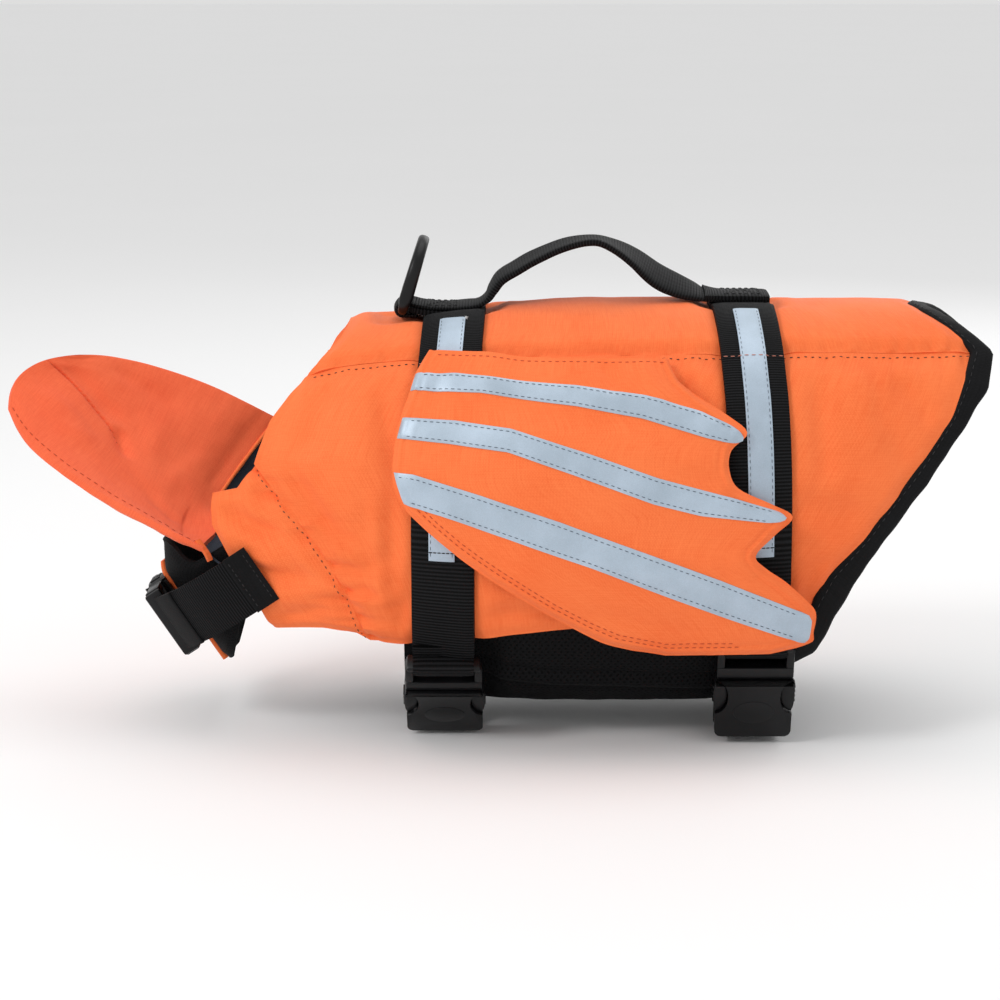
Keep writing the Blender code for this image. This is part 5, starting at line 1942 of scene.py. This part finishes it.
@dataclass
class Underside:
    """The belly panel in black mesh, and the straps and buckles that close under it."""

    span: tuple[float, float] = (-86.0, 80.0)
    top: float = -112.0
    wall: float = 3.0
    out: float = -8.1
    web: float = 1.8
    width: float = 25.5
    seat: float = 1.0
    sewn: float = -124.0
    tucks: tuple[tuple[float, float, float], ...] = (   # height of a fold along the side, depth, width
        (-153, 1.3, 2.2), (-148, -1.2, 1.8), (-158, -0.8, 1.5))
    ends: tuple[tuple[str, tuple[float, float], tuple[float, float]], ...] = (   # plug's y, z and way down
        ("front", (-63.5, -135.0), (0.66, -0.75)), ("rear", (-64.5, -126.5), (0.36, -0.933)))

    def pressed(self, x: float, angle: float, side: float) -> float:
        """Offset of the panel's outer face: the front strap's end presses it in.

        Args:
            x: place along the vest.
            angle: turn from the spine.
            side: the side's sign.

        Returns:
            The offset, negative inward.
        """
        press = 0.0
        if side < 0:
            near = 1 - soft((abs(x - STRAP_LINES["front"][1]) - self.width / 2 - 3) / 9)
            press = -3.5 * near * soft((angle - 1.9) / 0.25) * soft((2.9 - angle) / 0.3)
        return self.out + press

    def build_panel(self) -> None:
        """The belly panel, with a rolled edge fore and aft."""
        def place(u: float, v: float, depth: float) -> Vector:
            """A point of the belly panel."""
            u = crowd(u)
            x = self.span[0] + (self.span[1] - self.span[0]) * u
            top = TORSO.angle_at(x, self.top)
            turn = top + (2 * math.pi - 2 * top) * v
            side = -1.0 if turn <= math.pi else 1.0
            angle = turn if turn <= math.pi else 2 * math.pi - turn
            ends = min(u, 1 - u) * (self.span[1] - self.span[0])
            offset = self.pressed(x, angle, side)
            strap = min(abs(x - strap_x(name, 1.6)) for name in STRAP_LINES)
            quilt = 0.35 * grain(x, turn * NOISE_RADIUS, 12, 61) * soft(ends / 6)
            quilt -= 0.5 * (1 - soft((strap - 11) / 8))
            quilt -= 0.9 * bump(ends - 7.0, 1.3)
            z = TORSO.skin(x, angle, side).z + 0.05 * x + 1.5 * grain(x, side, 30, 63)
            quilt += soft(ends / 9) * sum(high * bump(z - at, wide) for at, high, wide in self.tucks)
            thin = 1 - soft(ends / 3)
            rise = quilt - thin if depth < 0.5 else 1.1 * thin - self.wall
            return TORSO.point(x, angle, offset + rise, side)

        piece = Maker.panel("belly_panel_mesh", (96, 190), place, (166, 190), MESH, "belly_panel")

    def frame(self, name: str) -> Matrix:
        """A belly buckle's frame.

        Args:
            name: the strap that it closes.

        Returns:
            The frame.
        """
        for found, (y, z), (down_y, down_z) in self.ends:
            if found == name:
                down = Vector((0, down_y, down_z)).normalized()
                out = Vector((0, down.z, -down.y))
                turn = Matrix((down, out.cross(down), out)).transposed().to_4x4()
                return Matrix.Translation(Vector((STRAP_LINES[name][1], y, z))) @ turn
        raise KeyError(name)

    def rail(self, name: str) -> list[tuple[Vector, Vector]]:
        """Middle of the belly strap's lower face, and the way up, at each step of its way.

        Args:
            name: the strap.

        Returns:
            The steps, from the sewn end to the socket.
        """
        x = STRAP_LINES[name][1]
        place = self.frame(name)
        foot = place @ Vector((45.4, 0, 0))
        down = place.to_3x3() @ Vector((1, 0, 0))
        start_turn = TORSO.angle_at(x, self.sewn) + 0.02
        last = math.pi + math.radians(9)
        rise = self.out + self.seat
        rail = []
        for i in range(61):
            turn = start_turn + i / 60 * (last - start_turn)
            offset = 0.3 + (rise - 0.3) * soft((turn - start_turn) / 0.35)
            side = 1.0 if turn <= math.pi else -1.0
            angle = turn if turn <= math.pi else 2 * math.pi - turn
            here = TORSO.point(x, angle, offset, side)
            rail.append((here, TORSO.point(x, angle, offset + self.web, side) - here))
        start = rail[-1][0] + rail[-1][1] / 2
        bend = foot + down * 4
        run = bend - start
        under = Vector((0, run.z, -run.y)).normalized() * self.web
        if under.z > 0:
            under.negate()
        face = Vector((0, down.z, -down.y)) * self.web
        for share in (0.4, 0.8):
            rail.append((start + run * share - under / 2, under))
        for middle in (foot + down * 1.5, foot):
            rail.append((middle - face / 2, face))
        return rail

    def build_strap(self, name: str) -> None:
        """The webbing under the belly.

        Args:
            name: the strap.
        """
        rail = self.rail(name)
        count = len(rail) - 1

        def place(u: float, v: float, depth: float) -> Vector:
            """A point of the belly strap."""
            low = min(int(u * count), count - 1)
            part = u * count - low
            here = rail[low][0].lerp(rail[low + 1][0], part)
            up = rail[low][1].lerp(rail[low + 1][1], part)
            v = crowd(v, 0.5)
            lift = 1 - 0.3 * rim(v) if depth < 0.5 else 0.2 * rim(v)
            return here + Vector(((v - 0.5) * self.width, 0, 0)) + up * lift

        node = name + "_belly_strap"
        Maker.panel(node + "_webbing", (130, 10), place, (190, self.width), BLACK_WEB, node)

    def build(self) -> None:
        """Build the panel, both straps and both buckles."""
        self.build_panel()
        for name, _, _ in self.ends:
            self.build_strap(name)
            Buckle().build(name + "_buckle", self.frame(name))


@dataclass
class Throat:
    """The black pad round the front of the throat, its neck straps, buckle and small trims."""

    centre: tuple[float, float] = (-177.0, -126.6)
    down: Vector = field(default_factory=lambda: Vector((0.555, 0.0, -0.832)))
    front: Vector = field(default_factory=lambda: Vector((-0.832, 0.0, -0.555)))
    pad: tuple[float, float, float, float] = (32.8, 36.0, 48.0, 26.5)
    wall: float = 3.0
    rise: float = -32.0
    ear: float = -18.6
    tuck: float = 6.0
    low_rise: float = 20.0
    width: float = 25.5
    web: float = 1.8
    strap_half: float = 45.4
    strap_depth: float = 43.5
    strap_leg: float = 8.0
    level: float = -2.0
    lift: float = 10.0
    start: float = 0.30
    buckle_forward: float = 6.5
    seam_span: tuple[float, float] = (-24.0, 27.0)
    strap_ends: tuple[tuple[str, float, float, float], ...] = (   # name, first and last share, extra width
        ("sewn", 0.83, 1.02, 0.8), ("folded", -0.01, 0.25, 0.4))

    def point(self, down: float, forward: float, y: float) -> Vector:
        """A point in the throat's own leaning frame."""
        base = Vector((self.centre[0], 0, self.centre[1]))
        return base + self.down * down + self.front * forward + Vector((0, y, 0))

    def bow(self, half: float, depth: float, full: float, share: float) -> tuple[float, float]:
        """Forward and sideways place on a U that opens backward; share runs from -1 to 1.

        Args:
            half: half of its width.
            depth: length of its bend, front to back.
            full: its whole length, front to back.
            share: place on it, from -1 to 1.

        Returns:
            Forward and sideways place.
        """
        arc = math.pi / 2 * (half + depth) / 2
        run = abs(share) * (arc + full - depth)
        if run <= arc:
            turn = run / arc * math.pi / 2
            forward, y = depth * (math.cos(turn) - 1), half * math.sin(turn)
        else:
            forward, y = -depth - (run - arc), half
        return forward, math.copysign(y, share)

    def build_pad(self) -> None:
        """The pad, with a soft edge and a little quilting."""
        half, depth, full, low = self.pad

        def place(u: float, v: float, inside: float) -> Vector:
            """A point of the pad."""
            v = crowd(v)
            edge = min(v, 1 - v) * 2 * low
            thin = 0.9 * (1 - soft(edge / 4))
            skin = self.wall - thin if inside > 0.5 else thin
            if inside < 0.5:
                skin += 0.3 * grain(u * 120, v * 55, 9, 71)
            forward, y = self.bow(half - skin, depth - skin, full - skin, 2 * u - 1)
            top = self.rise + (self.ear - self.rise) * soft(-forward / 18)
            base = low - self.low_rise * max(0.0, min(1.0, (-forward - 3) / 22))
            down = top + (base - top) * v
            tuck = -self.tuck * soft((-18 - down) / 14)
            return self.point(down, forward - skin + tuck, y)

        Maker.panel("throat_pad_mesh", (90, 40), place, (150, 56), MESH, "throat_pad")

    def strap_point(self, share: float, across: float, out: float, side: Side) -> Vector:
        """A point of a neck strap.

        Args:
            share: how far along it, 0 at the buckle and 1 at the chest flap.
            across: distance from its middle line.
            out: distance from its inner face.
            side: the vest's side.

        Returns:
            The point.
        """
        deep = self.strap_depth + out
        run = self.start + (1 - self.start) * share
        forward, y = self.bow(self.strap_half + out, deep, deep + self.strap_leg, run)
        return self.point(self.level + across, forward + self.lift + out, y * side.value)

    def build_straps(self, side: Side) -> None:
        """The ribbed webbing from a chest flap to the buckle.

        Args:
            side: the vest's side.
        """
        def place(u: float, v: float, depth: float) -> Vector:
            """A point of the strap."""
            v = crowd(v, 0.5)
            out = self.web * (1 - 0.35 * rim(v)) if depth < 0.5 else 0.0
            return self.strap_point(u, (v - 0.5) * self.width, out, side)

        def patch(low: float, high: float, grow: float) -> Place:
            """The place of a second layer at an end of the strap.

            Args:
                low: share where it starts.
                high: share where it ends.
                grow: what it adds to the width.

            Returns:
                The function.
            """
            def patch_place(u: float, v: float, depth: float) -> Vector:
                """A point of the second layer."""
                edge = max(rim(u, 8), rim(v, 8))
                out = self.web + (0.85 - 0.3 * edge if depth < 0.5 else -0.4)
                across = (crowd(v, 0.5) - 0.5) * (self.width + grow)
                return self.strap_point(low + (high - low) * crowd(u), across, out, side)

            return patch_place

        node = "neck_strap_" + side.label
        Maker.panel(node + "_webbing", (90, 12), place, (60, self.width), BLACK_WEB, node)
        for word, low, high, grow in self.strap_ends:
            place_end = patch(low, high, grow)
            Maker.panel("%s_%s_end" % (node, word), (24, 14), place_end, (10, self.width), BINDING)
        rows = [self.strap_row(share, side) for share in (0.86, 0.985)]
        Maker.seam(node + "_stitches", rows, BLACK_THREAD, 2.4, 1.8, 0.5)

    def strap_row(self, share: float, side: Side) -> Track:
        """Stitches across a neck strap's sewn end.

        Args:
            share: how far along the strap.
            side: the vest's side.

        Returns:
            The row.
        """
        normal = Vector((-0.4, side.value, 0)).normalized()
        ways = [(place - 0.5) * (self.width - 3) for place in shares(8)]
        return [(self.strap_point(share, across, self.web + 0.9, side), normal) for across in ways]

    def build_trims(self) -> None:
        """The orange-bound seam down the middle of the pad."""
        def seam(u: float, turn: float) -> Vector:
            """A point of the binding."""
            first, last = self.seam_span
            down = first + (last - first) * u
            tuck = -self.tuck * soft((-18 - down) / 14)
            c, s = swung(turn)
            return self.point(down, tuck + 0.9 + c * 1.6, s * 1.9)

        bm = Maker.tube(40, 10, seam, (52, 11))
        Maker.piece("throat_seam_binding", bm, ORANGE)

    def build(self) -> None:
        """Build the pad, the straps, the buckle and the trims."""
        self.build_pad()
        for side in Side:
            self.build_straps(side)
        self.build_trims()
        down, out = Vector((0, 1, 0)), self.front
        turn = Matrix((down, out.cross(down), out)).transposed().to_4x4()
        start = self.point(self.level, self.buckle_forward, 0) - down * 22.5
        Buckle().build("neck_buckle", Matrix.Translation(start) @ turn)


@dataclass
class ChinFloat:
    """The padded tongue under the chin: cupped, rolled to the left, with a dart down its middle."""

    edge: float = 2.2
    rows: Profile = Profile(tuple((i,) + row for i, row in enumerate((   # far rim, middle, near rim, swell
        (-143.2, 41.6, -50.3, -171, 9, -87, -168, -34.5, -94, 5.0),
        (-156, 38.5, -43, -180, 8, -81, -179, -33, -89, 7.0),
        (-170, 37.5, -36, -191, 8, -74, -192, -31, -82.5, 8.5),
        (-184, 36, -30.3, -203, 9, -64.5, -208, -29, -74.5, 9.0),
        (-199, 32.5, -25, -214, 9, -53, -226, -26, -63.5, 9.0),
        (-211, 27.5, -21.5, -226, 7, -41, -240, -21.5, -53.5, 7.5),
        (-219, 22.5, -19.6, -236.5, 4.5, -31, -247, -17, -46, 5.0),
        (-226, 16.5, -18.6, -246.5, 1, -23, -252, -10.5, -38, 2.6)))))
    run: float = 100.0
    girth: float = 100.0
    creases: tuple[Crease, ...] = laid(   # in run and girth, from the base and the far rim
        (97, 29, 52, 50, 0.9, -1.6), (86, 26, 58, 41, 6.5, -2.6), (55, 44, 47, 55, 4.0, -2.2),
        (42, 18, 37, 60, 8.0, 1.3), (84, 55, 60, 72, 10.0, 1.6), (6, 4, 7, 40, 4.0, -0.8),
        (6, 58, 5, 92, 5.5, -1.3), (34, 66, 14, 78, 5.0, -1.1), (16, 26, 30, 60, 6.0, 0.9),
        (70, 10, 40, 14, 4.0, -0.9))
    tuck: Vector = field(default_factory=lambda: Vector((8.0, 2.5, 3.0)))
    tab: tuple[tuple[float, float, float], ...] = (
        (-2.5, 0.6, 2.4), (-0.5, 0.2, -0.2), (1.6, -0.3, -3.2), (3.0, -0.6, -6.2))

    def sheet_point(self, u: float, v: float) -> tuple[Vector, float]:
        """A point of the middle surface and the swell there.

        Args:
            u: share from neck edge to tip.
            v: share from the far rim to the near one.

        Returns:
            The point and the swell.
        """
        values = self.rows.at(u * (len(self.rows.rows) - 1))
        far, middle, near = Vector(values[0:3]), Vector(values[3:6]), Vector(values[6:9])
        pull = middle * 2 - (far + near) / 2
        here = far * (1 - v) ** 2 + pull * 2 * v * (1 - v) + near * v * v
        tucked = soft((v - 0.45) / 0.25) * (1 - soft((v - 0.8) / 0.2)) * max(0.0, 1 - u / 0.1)
        return here + self.tuck * tucked, values[9]

    def face(self, u: float, v: float, way: float) -> tuple[Vector, Vector]:
        """A point of the upper (way 1) or lower (way -1) face, and its normal.

        Args:
            u: share from neck edge to tip.
            v: share from the far rim to the near one.
            way: 1 for the upper face, -1 for the lower one.

        Returns:
            The point and the normal.
        """
        here, swell = self.sheet_point(u, v)
        step = 0.02
        su, sv = min(max(u, step), 0.86), min(max(v, 0.14), 0.86)
        along = self.sheet_point(su + step, sv)[0] - self.sheet_point(su - step, sv)[0]
        across = self.sheet_point(su, sv + step)[0] - self.sheet_point(su, sv - step)[0]
        normal = along.cross(across).normalized()
        if normal.z < 0:
            normal.negate()
        thick = self.edge + (swell - self.edge) * math.sin(math.pi * v) ** 0.5
        return here + normal * way * thick / 2, normal

    def height(self, a: float, b: float, way: float) -> float:
        """Folds, waves and rim puckers at a run and girth of the upper (1) or lower (-1) face.

        Args:
            a: run from the neck edge.
            b: girth from the far rim.
            way: 1 for the upper face, -1 for the lower one.

        Returns:
            The height in millimetres.
        """
        away = min(b, self.girth - b)
        height = folds(self.creases, a, b) if way > 0 else 0.0
        height += (0.7 * grain(a, b, 20, 81 + way) + 0.25 * grain(a, b, 7, 83)) * soft(away / 5)
        return height + 0.4 * grain(a, way, 4.5, 85) * math.exp(-away / 5) * soft(away / 1.2)

    def stitch_row(self, places: Iterable[tuple[float, float]]) -> Track:
        """Points just over the upper face at runs and girths.

        Args:
            places: run and girth of each.

        Returns:
            The row.
        """
        track = []
        for a, b in places:
            here, normal = self.face(a / self.run, b / self.girth, 1.0)
            track.append((here + normal * (self.height(a, b, 1.0) + 0.12), normal))
        return track

    def root(self, v: float) -> tuple[Vector, Vector, Vector]:
        """A point of the upper face at the neck edge, its normal, and the way back into the coat."""
        back = self.sheet_point(0.0, v)[0] - self.sheet_point(0.06, v)[0]
        return (*self.face(0.0, v, 1.0), back.normalized())

    def build_base(self) -> None:
        """The float's rolled edge at the collar, the navy facing behind it and a doubled tab."""
        def roll(u: float, turn: float) -> Vector:
            """A point of the roll."""
            here, normal, back = self.root(0.01 + 0.80 * u)
            c, s = swung(turn)
            fat = 0.85 + 0.2 * grain(u * 90, 0, 9, 91)
            return here + back * (0.6 + fat * c) + normal * (-0.2 + fat * s)

        def facing(u: float, v: float, depth: float) -> Vector:
            """A point of the facing."""
            v = 0.01 + 0.97 * v
            here, normal, back = self.root(v)
            sag = -1.6 - 5.0 * u + 0.5 * grain(u * 14, v * 90, 9, 93)
            reach = 15 * soft((v - 0.02) / 0.13)
            return here + back * (0.5 + reach * u) + normal * (sag - 0.9 * depth)

        Maker.piece("float_collar_roll", Maker.tube(60, 10, roll, (90, 9)), ORANGE)
        Maker.panel("float_facing", (16, 50), facing, (16, 90), NAVY)
        start = self.face(0.0, 0.985, 1.0)[0]
        ways = [start + Vector(step) for step in self.tab]
        bm = Maker.ribbon(ways, Vector((0.75, 0.62, 0.25)).normalized(), 2.6, 1.5, (14, 8))
        Maker.piece("float_tab", bm, ORANGE)

    def build(self) -> None:
        """Build the float and its stitching."""
        def place(u: float, v: float, depth: float) -> Vector:
            """A point of the float."""
            way = 1.0 if depth < 0.5 else -1.0
            v = crowd(v, 0.7)
            here, normal = self.face(u, v, way)
            height = self.height(u * self.run, v * self.girth, way)
            return here + normal * way * height

        # the float wears the orange cloth painted darker and redder, as painted shade
        piece = Maker.panel("chin_float_cloth", (150, 110), place, (110, 100), FLOAT_ORANGE_SHADED, "chin_float")
        self.build_base()
        rim = [(2 + 1.2 * i, 95.5) for i in range(81)]
        Maker.seam("float_stitches", [self.stitch_row(rim)], ORANGE_THREAD, 3.4, 2.4, 0.5)
        dart = [(97 - 45 * i / 40, 29 + 21 * i / 40) for i in range(41)]
        Maker.seam("float_dart_stitches", [self.stitch_row(dart)], ORANGE_THREAD, 2.0, 2.0, 0.4)


@dataclass
class Studio:
    """A pale floor, soft lights and the camera at the photograph's angle."""

    target: tuple[float, float, float] = (-43.2, 0.0, -79.5)
    distance: float = 1200.0
    elevation: float = 11.0
    lens: float = 100.0
    sensor: float = 36.0
    floor_gap: float = 0.0015
    floor_size: float = 20.0
    sky: float = 0.74
    lamps: tuple[tuple[str, tuple[float, float, float], float, float], ...] = (   # place, size and power
        ("key", (-1.15, -0.95, 1.0), 0.5, 8.5), ("top", (0.2, 0.1, 1.3), 1.2, 4.5),
        ("rim", (0.5, 1.2, 0.6), 0.8, 2.0))

    def area(self, name: str, place: Sequence[float], size: float, power: float) -> None:
        """A soft light in metres that looks at the vest.

        Args:
            name: the light's name.
            place: where it stands.
            size: its diameter.
            power: its power in watts.
        """
        data = bpy.data.lights.new(name, "AREA")
        data.shape = "DISK"
        data.size = size
        data.energy = power
        lamp = put(name, data)
        lamp.location = place
        aim = Vector(self.target) * MM - Vector(place)
        lamp.rotation_euler = aim.to_track_quat("-Z", "Y").to_euler()

    def floor(self, height: float) -> None:
        """A pale floor just under the vest.

        Args:
            height: its height in metres.
        """
        graph = Graph("pale_floor")
        graph.dress(Base_Color=graph.mix(graph.noise(3.0), tone(0.96, 0.96, 0.96), tone(0.94, 0.94, 0.94)),
                    Roughness=0.9)
        bm = bmesh.new()
        bmesh.ops.create_grid(bm, x_segments=1, y_segments=1, size=self.floor_size)
        bmesh.ops.translate(bm, verts=bm.verts, vec=(0, 0, height))
        mesh = bpy.data.meshes.new("floor")
        bm.to_mesh(mesh)
        bm.free()
        mesh.materials.append(graph.material)
        put("floor", mesh)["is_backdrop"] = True

    def build(self) -> None:
        """Set up floor, world, lights and camera."""
        scene = bpy.context.scene
        self.floor(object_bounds()[0][2] - self.floor_gap)
        world = bpy.data.worlds.new("studio")
        world.use_nodes = True
        sky = world.node_tree.nodes["Background"].inputs
        sky["Color"].default_value = tone(1, 1, 1)
        sky["Strength"].default_value = self.sky
        scene.world = world
        for lamp in self.lamps:
            self.area(*lamp)
        scene.view_settings.view_transform = "Standard"
        lift = math.radians(self.elevation)
        data = bpy.data.cameras.new("camera")
        data.lens = self.lens
        data.sensor_width = self.sensor
        data.clip_start = 0.01
        camera = put("camera", data)
        back = Vector((0, -math.cos(lift), math.sin(lift))) * self.distance
        camera.location = (Vector(self.target) + back) * MM
        camera.rotation_euler = (math.pi / 2 - lift, 0, 0)
        scene.camera = camera


def main() -> None:
    """Dress the whole vest and set the scene."""
    logging.basicConfig(level=logging.INFO, format="%(name)s %(message)s")
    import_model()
    for part in (Shell(), Hem(), Straps(), Wings(), Grip(), Ring(), Underside(), Throat(), ChinFloat()):
        part.build()
        LOG.info("built %s", type(part).__name__)
    Studio().build()


if __name__ == "__main__":
    main()
